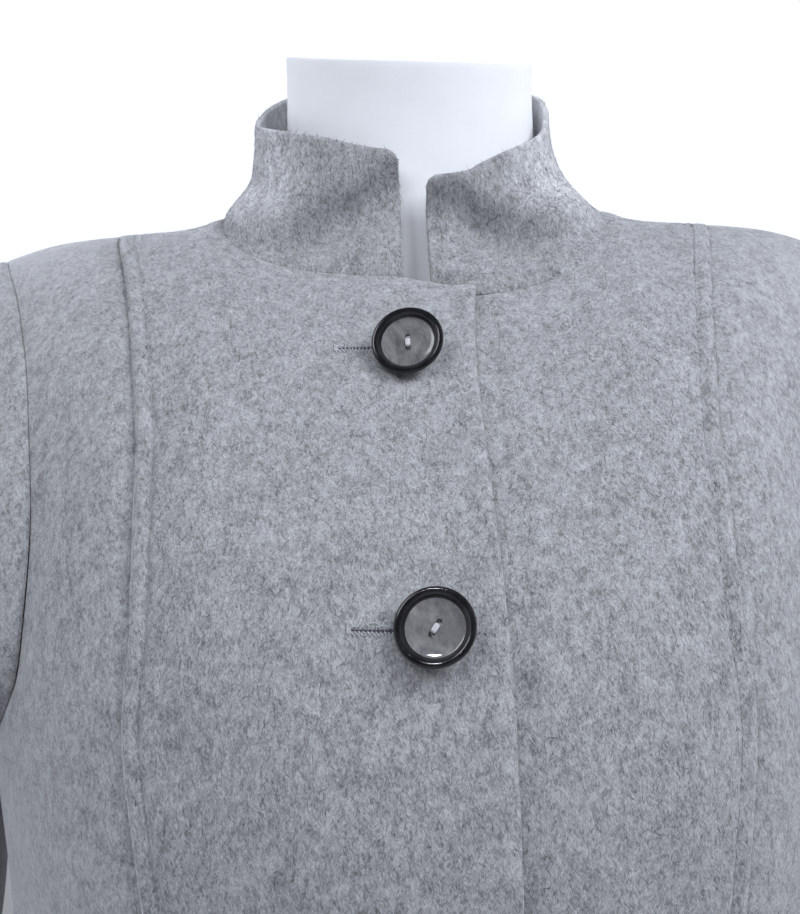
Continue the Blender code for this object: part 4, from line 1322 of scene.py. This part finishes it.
# ------------------------------------------------------------------ topstitching
def topstitch(name, panel_name, from_right):
    """Stitches in the groove beside the panel seam."""
    outer, n, down, across = outer_of[panel_name]
    d = across if from_right else across[:, -1:] - across
    # the line at 7.4 mm from the seam, row by row
    line = []
    for i in range(outer.shape[0]):
        order = np.argsort(d[i])
        line.append([np.interp(7.4, d[i][order], outer[i, order, k]) for k in range(3)]
                    + [np.interp(7.4, d[i][order], n[i, order, k]) for k in range(3)])
    line = np.array(line)
    run = run_along(line[:, :3], 0)
    tubes, at, g = [], 4.0, np.random.default_rng(31 if from_right else 32)
    while at < run[-1] - 5.0:
        span = 2.9 + g.normal(0, 0.12)
        k = np.linspace(at, at + span, 5)
        p = np.stack([np.interp(k, run, line[:, c]) for c in range(3)], -1)
        nn = np.stack([np.interp(k, run, line[:, c]) for c in range(3, 6)], -1)
        arch = np.array([-0.3, 0.12, 0.17, 0.12, -0.3])
        tubes.append(tube(p + nn * arch[:, None], 0.2, 4))
        at += 3.7 + g.normal(0, 0.1)
    return join_tubes(name, tubes, THREAD)


small_pieces.append(topstitch("topstitch_right", "front_right_centre", True))
small_pieces.append(topstitch("topstitch_left", "front_left_centre", False))

# ------------------------------------------------------------------ buttons
# Half profile: radius, height
DISH_PROFILE = [(0.0, 1.72), (3.0, 1.73), (6.0, 1.80), (8.4, 1.94), (10.0, 2.12), (11.0, 2.34)]
RIM_PROFILE = [
    (11.0, 2.34), (11.25, 2.52), (11.5, 2.85), (11.78, 3.3), (12.1, 3.75), (12.5, 4.14),
    (13.0, 4.43), (13.5, 4.55), (14.0, 4.5), (14.45, 4.3), (14.8, 3.98), (14.97, 3.6),
    (14.93, 3.2), (14.7, 2.7), (14.2, 1.95), (13.6, 1.25), (12.9, 0.65), (12.0, 0.25),
    (10.5, 0.05), (6.0, 0.0), (0.0, 0.0)]


def turned_mesh(name, profile, steps, mats, split=None):
    """A closed turned body; faces past profile index split take the second material."""
    prof = np.array(profile, float)
    ang = np.linspace(0, 2 * math.pi, steps, endpoint=False)
    inner = prof[1:-1]
    ring = np.stack([inner[:, :1] * np.cos(ang), inner[:, :1] * np.sin(ang),
                     np.repeat(inner[:, 1:], steps, 1)], -1)
    m = len(inner)
    verts = np.concatenate([ring.reshape(-1, 3), [[0, 0, prof[0, 1]]], [[0, 0, prof[-1, 1]]]])
    ids = np.arange(m * steps).reshape(m, steps)
    nxt = np.roll(ids, -1, axis=1)
    quads = np.stack([ids[:-1], ids[1:], nxt[1:], nxt[:-1]], -1).reshape(-1, 4)
    a = np.stack([ids[0], nxt[0], np.full(steps, m * steps)], -1)
    b = np.stack([nxt[-1], ids[-1], np.full(steps, m * steps + 1)], -1)
    obj = mesh_object(name, verts, [quads, a, b], mats[0])
    for extra in mats[1:]:
        obj.data.materials.append(extra)
    if split is not None:
        index = np.concatenate([
            np.repeat((np.arange(m - 1) + 1 >= split).astype(np.int32), steps),
            np.zeros(steps, np.int32), np.ones(steps, np.int32)])
        obj.data.polygons.foreach_set("material_index", index)
    return obj


def resampled(profile, n):
    return [tuple(p) for p in smooth_path(profile, n)]


def button_place(z, x, up_tilt, side_tilt, lift, turn):
    r, h = math.radians(up_tilt), math.radians(side_tilt)
    facing = Vector((-math.sin(h) * math.cos(r), -math.cos(h) * math.cos(r), math.sin(r)))
    at = Vector((x, float(skin(True, np.array(x), np.array(z))) - LAP_STEP, z)) + lift * Vector(
        (0, -math.cos(r), math.sin(r)))
    rot = facing.to_track_quat("Z", "Y").to_matrix().to_4x4()
    return Matrix.Translation(at * MM) @ rot @ Matrix.Rotation(math.radians(turn), 4, "Z"), at


def build_button(name, z, x, up_tilt, side_tilt, lift, turn):
    place, at = button_place(z, x, up_tilt, side_tilt, lift, turn)
    steps, fine = (96, 60) if z > 1200.0 else (64, 40)
    dish = resampled(DISH_PROFILE, 12)
    rim = resampled(RIM_PROFILE, fine)
    dish[0], rim[-1] = (0.0, dish[0][1]), (0.0, 0.0)
    profile = dish + rim[1:]
    body = turned_mesh(name + "_horn", profile, steps, [DISH, RIM], split=len(dish) - 1)
    for side in (-1, 1):
        prof = [(0.0, 12.0), (HOLE_R, 12.0), (HOLE_R, -6.0), (0.0, -6.0)]
        drill = turned_mesh(f"{name}_drill", prof, 24, [DISH])
        drill.data.transform(Matrix.Translation((0, side * HOLE_APART / 2 * MM, 0)))
        cut = body.modifiers.new("hole", "BOOLEAN")
        cut.operation, cut.solver, cut.object = "DIFFERENCE", "EXACT", drill
        bpy.context.view_layer.update()
        mesh = bpy.data.meshes.new_from_object(
            body.evaluated_get(bpy.context.evaluated_depsgraph_get()))
        body.modifiers.clear()
        body.data = mesh
        bpy.data.objects.remove(drill)
    mesh = body.data
    mesh.shade_smooth()
    mesh.set_sharp_from_angle(angle=math.radians(42))
    mesh.transform(place)
    # sewing thread: strands from hole to hole over the face, and a wound shank behind
    tubes = []
    for k in range(7):
        off = (k - 3) * 0.27
        lift_k = 0.42 - 0.045 * abs(k - 3)
        half = HOLE_APART / 2
        path = [(off * 0.55, -half + 0.6, 0.2), (off * 0.75, -half + 0.8, 1.7),
                (off, -half * 0.45, 1.85 + lift_k), (off * 1.05, 0.0, 1.88 + lift_k),
                (off, half * 0.45, 1.85 + lift_k), (off * 0.75, half - 0.8, 1.7),
                (off * 0.55, half - 0.6, 0.2)]
        tubes.append(tube(smooth_path(path, 20), 0.2, 6))
    gap = lift - 0.2
    ang = np.linspace(0, 2 * math.pi * 7, 150)
    shank = np.stack([1.7 * np.cos(ang), 2.6 * np.sin(ang),
                      -0.1 - gap * np.linspace(0.02, 0.98, 150)], -1)
    tubes.append(tube(shank, 0.3, 6))
    thread = join_tubes(name + "_thread", tubes, PALE_THREAD)
    thread.data.transform(place)
    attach(body, "root")
    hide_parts(name)
    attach(thread, "root")


for row in BUTTONS:
    build_button(*row)


# ------------------------------------------------------------------ dress form
def build_form():
    around = 120
    a = 2 * math.pi * np.arange(around) / around
    s, c = np.sin(a), np.cos(a)
    rows = []
    for half, mid, front, back, z_side, z_front, z_back in FORM:
        w = np.abs(c) ** 0.96
        x = half * np.sign(s) * np.abs(s) ** 0.96
        y = np.where(c > 0, mid - front * w, mid + back * w)
        z = z_side + (np.where(c > 0, z_front, z_back) - z_side) * w
        if z_side > 1455:
            z = z - FORM_NECK_SLIP * x
        rows.append(np.stack([x, y, z], -1))
    rows = np.array(rows)
    flat = smooth_path(rows.reshape(len(rows), -1), 110).reshape(110, around, 3)
    # the cover makes the neck about 1 mm wider each side
    flat[..., 0] *= 1 + 0.02 * ease(1407.0, 1440.0, flat[:, around // 4, 2])[:, None]
    top, bottom = flat[0], flat[-1]
    tc, bc = top.mean(axis=0), bottom.mean(axis=0)
    down = unit(flat[2] - flat[0])
    caps = [tc + (top - tc) * k for k in (0.2, 0.45, 0.7, 0.88, 0.955)]
    caps += [tc + (top - tc) * k + down * d for k, d in
             ((0.986, 0.03), (0.993, 0.14), (0.998, 0.4), (1.0, 0.8))]
    lower = [bottom + (bc - bottom) * k + np.array([0, 0, dz]) for k, dz in
             ((0.004, 0.5), (0.012, 0.0), (0.03, 0.0), (0.3, 0.0), (0.6, 0.0), (0.85, 0.0))]
    body = flat[1:-1]
    keep = [i for i in range(len(body)) if np.linalg.norm(body[i] - top, axis=1).min() > 1.4]
    grid = np.concatenate([np.array(caps), body[keep], np.array(lower)])
    m = len(grid)
    ids = np.arange(m * around).reshape(m, around)
    nxt = np.roll(ids, -1, axis=1)
    quads = np.stack([ids[:-1], ids[1:], nxt[1:], nxt[:-1]], -1).reshape(-1, 4)
    verts = np.concatenate([grid.reshape(-1, 3), [tc], [bc]])
    t = np.stack([ids[0], nxt[0], np.full(around, m * around)], -1)
    b = np.stack([nxt[-1], ids[-1], np.full(around, m * around + 1)], -1)
    obj = mesh_object("form_torso_cover", verts, [quads, t, b], COVER)
    obj.data.set_sharp_from_angle(angle=math.radians(60))
    return obj


form = build_form()
pole = turned_mesh("stand_pole_tube", [
    (0.0, 789.5), (POLE_R - 0.6, 789.5), (POLE_R, 788.9), (POLE_R, 400.0), (POLE_R, 15.2),
    (POLE_R - 0.6, 14.6), (0.0, 14.6)], 72, [POLE_STEEL])
base = turned_mesh("stand_base_plate", [
    (0.0, BASE_H), (60.0, BASE_H), (BASE_R - 5.0, BASE_H), (BASE_R - 3.1, BASE_H - 0.5),
    (BASE_R - 1.5, BASE_H - 1.5), (BASE_R - 0.5, BASE_H - 3.1), (BASE_R, BASE_H - 5.0),
    (BASE_R, 0.6), (BASE_R - 0.6, 0.0), (0.0, 0.0)], 192, [BASE_STEEL])
for obj in (pole, base):
    obj.data.set_sharp_from_angle(angle=math.radians(40))
for obj, name, slot in ((form, "form_torso", "form_cover"), (pole, "stand_pole", "pole_steel"),
                        (base, "stand_base", "base_steel")):
    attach(obj, "root")
    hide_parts(name)

for obj in small_pieces:
    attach(obj, "root")

# ------------------------------------------------------------------ nap
def nap(name, panel_name, count, seed, keep, mat, rise, long, thick):
    """Short loose fibres along the cloth, each a thin closed spike."""
    outer, n, down, across = outer_of[panel_name]
    g = np.random.default_rng(seed)
    a = outer[:-1, :-1]
    area = np.linalg.norm(np.cross(outer[1:, :-1] - a, outer[:-1, 1:] - a), axis=-1)
    area = area * keep(a)
    pick = g.choice(area.size, count, p=(area / area.sum()).ravel())
    i, j = np.unravel_index(pick, area.shape)
    s, t = g.random((2, count, 1))
    at = (outer[i, j] * (1 - s) * (1 - t) + outer[i + 1, j] * s * (1 - t)
          + outer[i, j + 1] * (1 - s) * t + outer[i + 1, j + 1] * s * t)
    up = n[i, j]
    # fibres lie mostly up and down the cloth
    fall = unit(np.array([0.0, 0.0, -1.0]) + up * up[:, 2:])
    side = np.cross(up, fall)
    turn = g.normal(0.0, 0.55, (count, 1))
    way = np.where(g.random((count, 1)) < 0.7, 1.0, -1.0)
    lie = way * (fall * np.cos(turn) + side * np.sin(turn))
    stand = g.uniform(rise[0], rise[1], (count, 1))
    length = (g.gamma(4.0, long / 4.0, (count, 1))).clip(0.4 * long, 2.2 * long)
    tip = at + (lie * (1 - stand) + up * stand) * length
    across_v = unit(np.cross(lie, up))
    r = g.uniform(thick[0], thick[1], (count, 1))
    root = at - up * 0.05
    verts = np.stack([root + across_v * r, root - across_v * r + up * r * 0.5,
                      root - up * r, tip], 1).reshape(-1, 3)
    k = 4 * np.arange(count)[:, None]
    tris = np.concatenate([k + np.array(f) for f in ((0, 2, 1), (0, 1, 3), (1, 2, 3), (2, 0, 3))])
    return mesh_object(name, verts, tris, mat)


seen = lambda p: (p[..., 2] > 1090.0) * 1.0
near_front = lambda p: (p[..., 1] < 45.0) * 1.0
for tag, panel_name, share, keep in (("collar", "collar", 0.62, near_front),
                                     ("front_right", "front_right_centre", 1.0, seen),
                                     ("front_left", "front_left_centre", 0.8, seen)):
    for kind, mat, count, rise, long, thick in (
            ("dark", DARK_FIBRES, 9000, (0.0, 0.04), 2.3, (0.09, 0.17)),
            ("pale", PALE_FIBRES, 15000, (0.02, 0.40), 1.7, (0.05, 0.11))):
        piece = nap(f"nap_{kind}_{tag}", panel_name, int(count * share), 41 + len(tag) + count % 7,
                    keep, mat, rise, long, thick)
        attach(piece, "root")

# ------------------------------------------------------------------ stage and light
TINT = (1.0, 1.03, 1.12)
WORLD_FRONT = 0.02
RIGHT_WATTS = 17.3
LEFT_WATTS = 8.6
UPPER_WATTS = 8.4
FRONT_WATTS = 3.8
SIDE_WATTS = 3.0


def build_stage():
    floor_mat, tree, p = new_material("floor")
    at = node(tree, "ShaderNodeTexCoord").outputs["Object"]
    tone = noise(tree, at, (3, 3, 3), (0, 0, 0), 3.0, 0.5)
    tree.links.new(ramp(tree, tone, [(0.3, (0.73, 0.73, 0.74)), (0.7, (0.77, 0.77, 0.78))]),
                   p.inputs["Base Color"])
    p.inputs["Roughness"].default_value = 0.8
    size = 6000.0
    verts = [(-size, -size, -0.3), (size, -size, -0.3), (size, size, -0.3), (-size, size, -0.3)]
    floor = mesh_object("floor", np.array(verts), np.array([[0, 1, 2, 3]]), floor_mat)
    world = bpy.data.worlds.new("studio")
    world.use_nodes = True
    tree = world.node_tree
    bg = tree.nodes["Background"]
    part = node(tree, "ShaderNodeSeparateXYZ")
    tree.links.new(node(tree, "ShaderNodeTexCoord").outputs["Generated"], part.inputs["Vector"])
    behind = node(tree, "ShaderNodeMapRange", interpolation_type="SMOOTHSTEP")
    for key, value in (("From Min", -0.6), ("From Max", 0.1), ("To Min", WORLD_FRONT),
                       ("To Max", 1.0)):
        behind.inputs[key].default_value = value
    tree.links.new(part.outputs["Y"], behind.inputs["Value"])
    # the white sweep ends overhead
    above = node(tree, "ShaderNodeMapRange", interpolation_type="SMOOTHSTEP")
    for key, value in (("From Min", 0.48), ("From Max", 0.9), ("To Min", 1.0), ("To Max", 0.15)):
        above.inputs[key].default_value = value
    tree.links.new(part.outputs["Z"], above.inputs["Value"])
    bg.inputs["Color"].default_value = (*TINT, 1.0)
    sweep = math_node(tree, "MULTIPLY", behind.outputs["Result"], above.outputs["Result"])
    # seen directly, the surround is white on every side
    seen = node(tree, "ShaderNodeLightPath").outputs["Is Camera Ray"]
    tree.links.new(math_node(tree, "MAXIMUM", sweep, seen), bg.inputs["Strength"])
    bpy.context.scene.world = world

    def softbox(name, at, aim, size, watts, spread=180.0, colour=TINT):
        data = bpy.data.lights.new(name, "AREA")
        data.shape, data.size, data.size_y = "RECTANGLE", size[0], size[1]
        data.energy, data.color, data.spread = watts, colour, math.radians(spread)
        lamp = link(bpy.data.objects.new(name, data))
        lamp.location = at
        lamp.rotation_mode = "QUATERNION"
        lamp.rotation_quaternion = (Vector(aim) - Vector(at)).to_track_quat("-Z", "Y")
        return lamp

    # broad boxes light the cloth; small ones show only as glints in the horn
    cloth = [softbox("right", (0.8, -0.75, 2.05), (0.1, -0.1, 1.35), (0.8, 0.6), RIGHT_WATTS),
             softbox("left", (-1.0, -1.2, 2.25), (0.0, -0.1, 1.33), (0.7, 0.6), LEFT_WATTS),
             softbox("upper", (-0.45, -1.5, 2.3), (0.0, -0.1, 1.35), (0.8, 0.6), UPPER_WATTS),
             softbox("front", (0.1, -1.9, 1.8), (0.0, -0.1, 1.33), (0.9, 0.7), FRONT_WATTS),
             softbox("side", (-1.1, 0.15, 1.45), (0.0, -0.03, 1.42), (0.7, 0.7), SIDE_WATTS)]
    glints = [softbox("glint_low", (-0.356, -0.936, 2.269), (-0.018, -0.178, 1.1885), (0.30, 0.10),
                      0.05, 8.0),
              softbox("glint_side", (-0.735, -0.544, 2.12), (0.0, -0.12, 1.27), (0.42, 0.42), 4.0)]
    for lamp in cloth:
        lamp.visible_glossy = False
    for lamp in glints:
        lamp.visible_diffuse = False
    scene = bpy.context.scene
    scene.view_settings.view_transform = "Standard"
    scene.view_settings.look = "None"


build_stage()
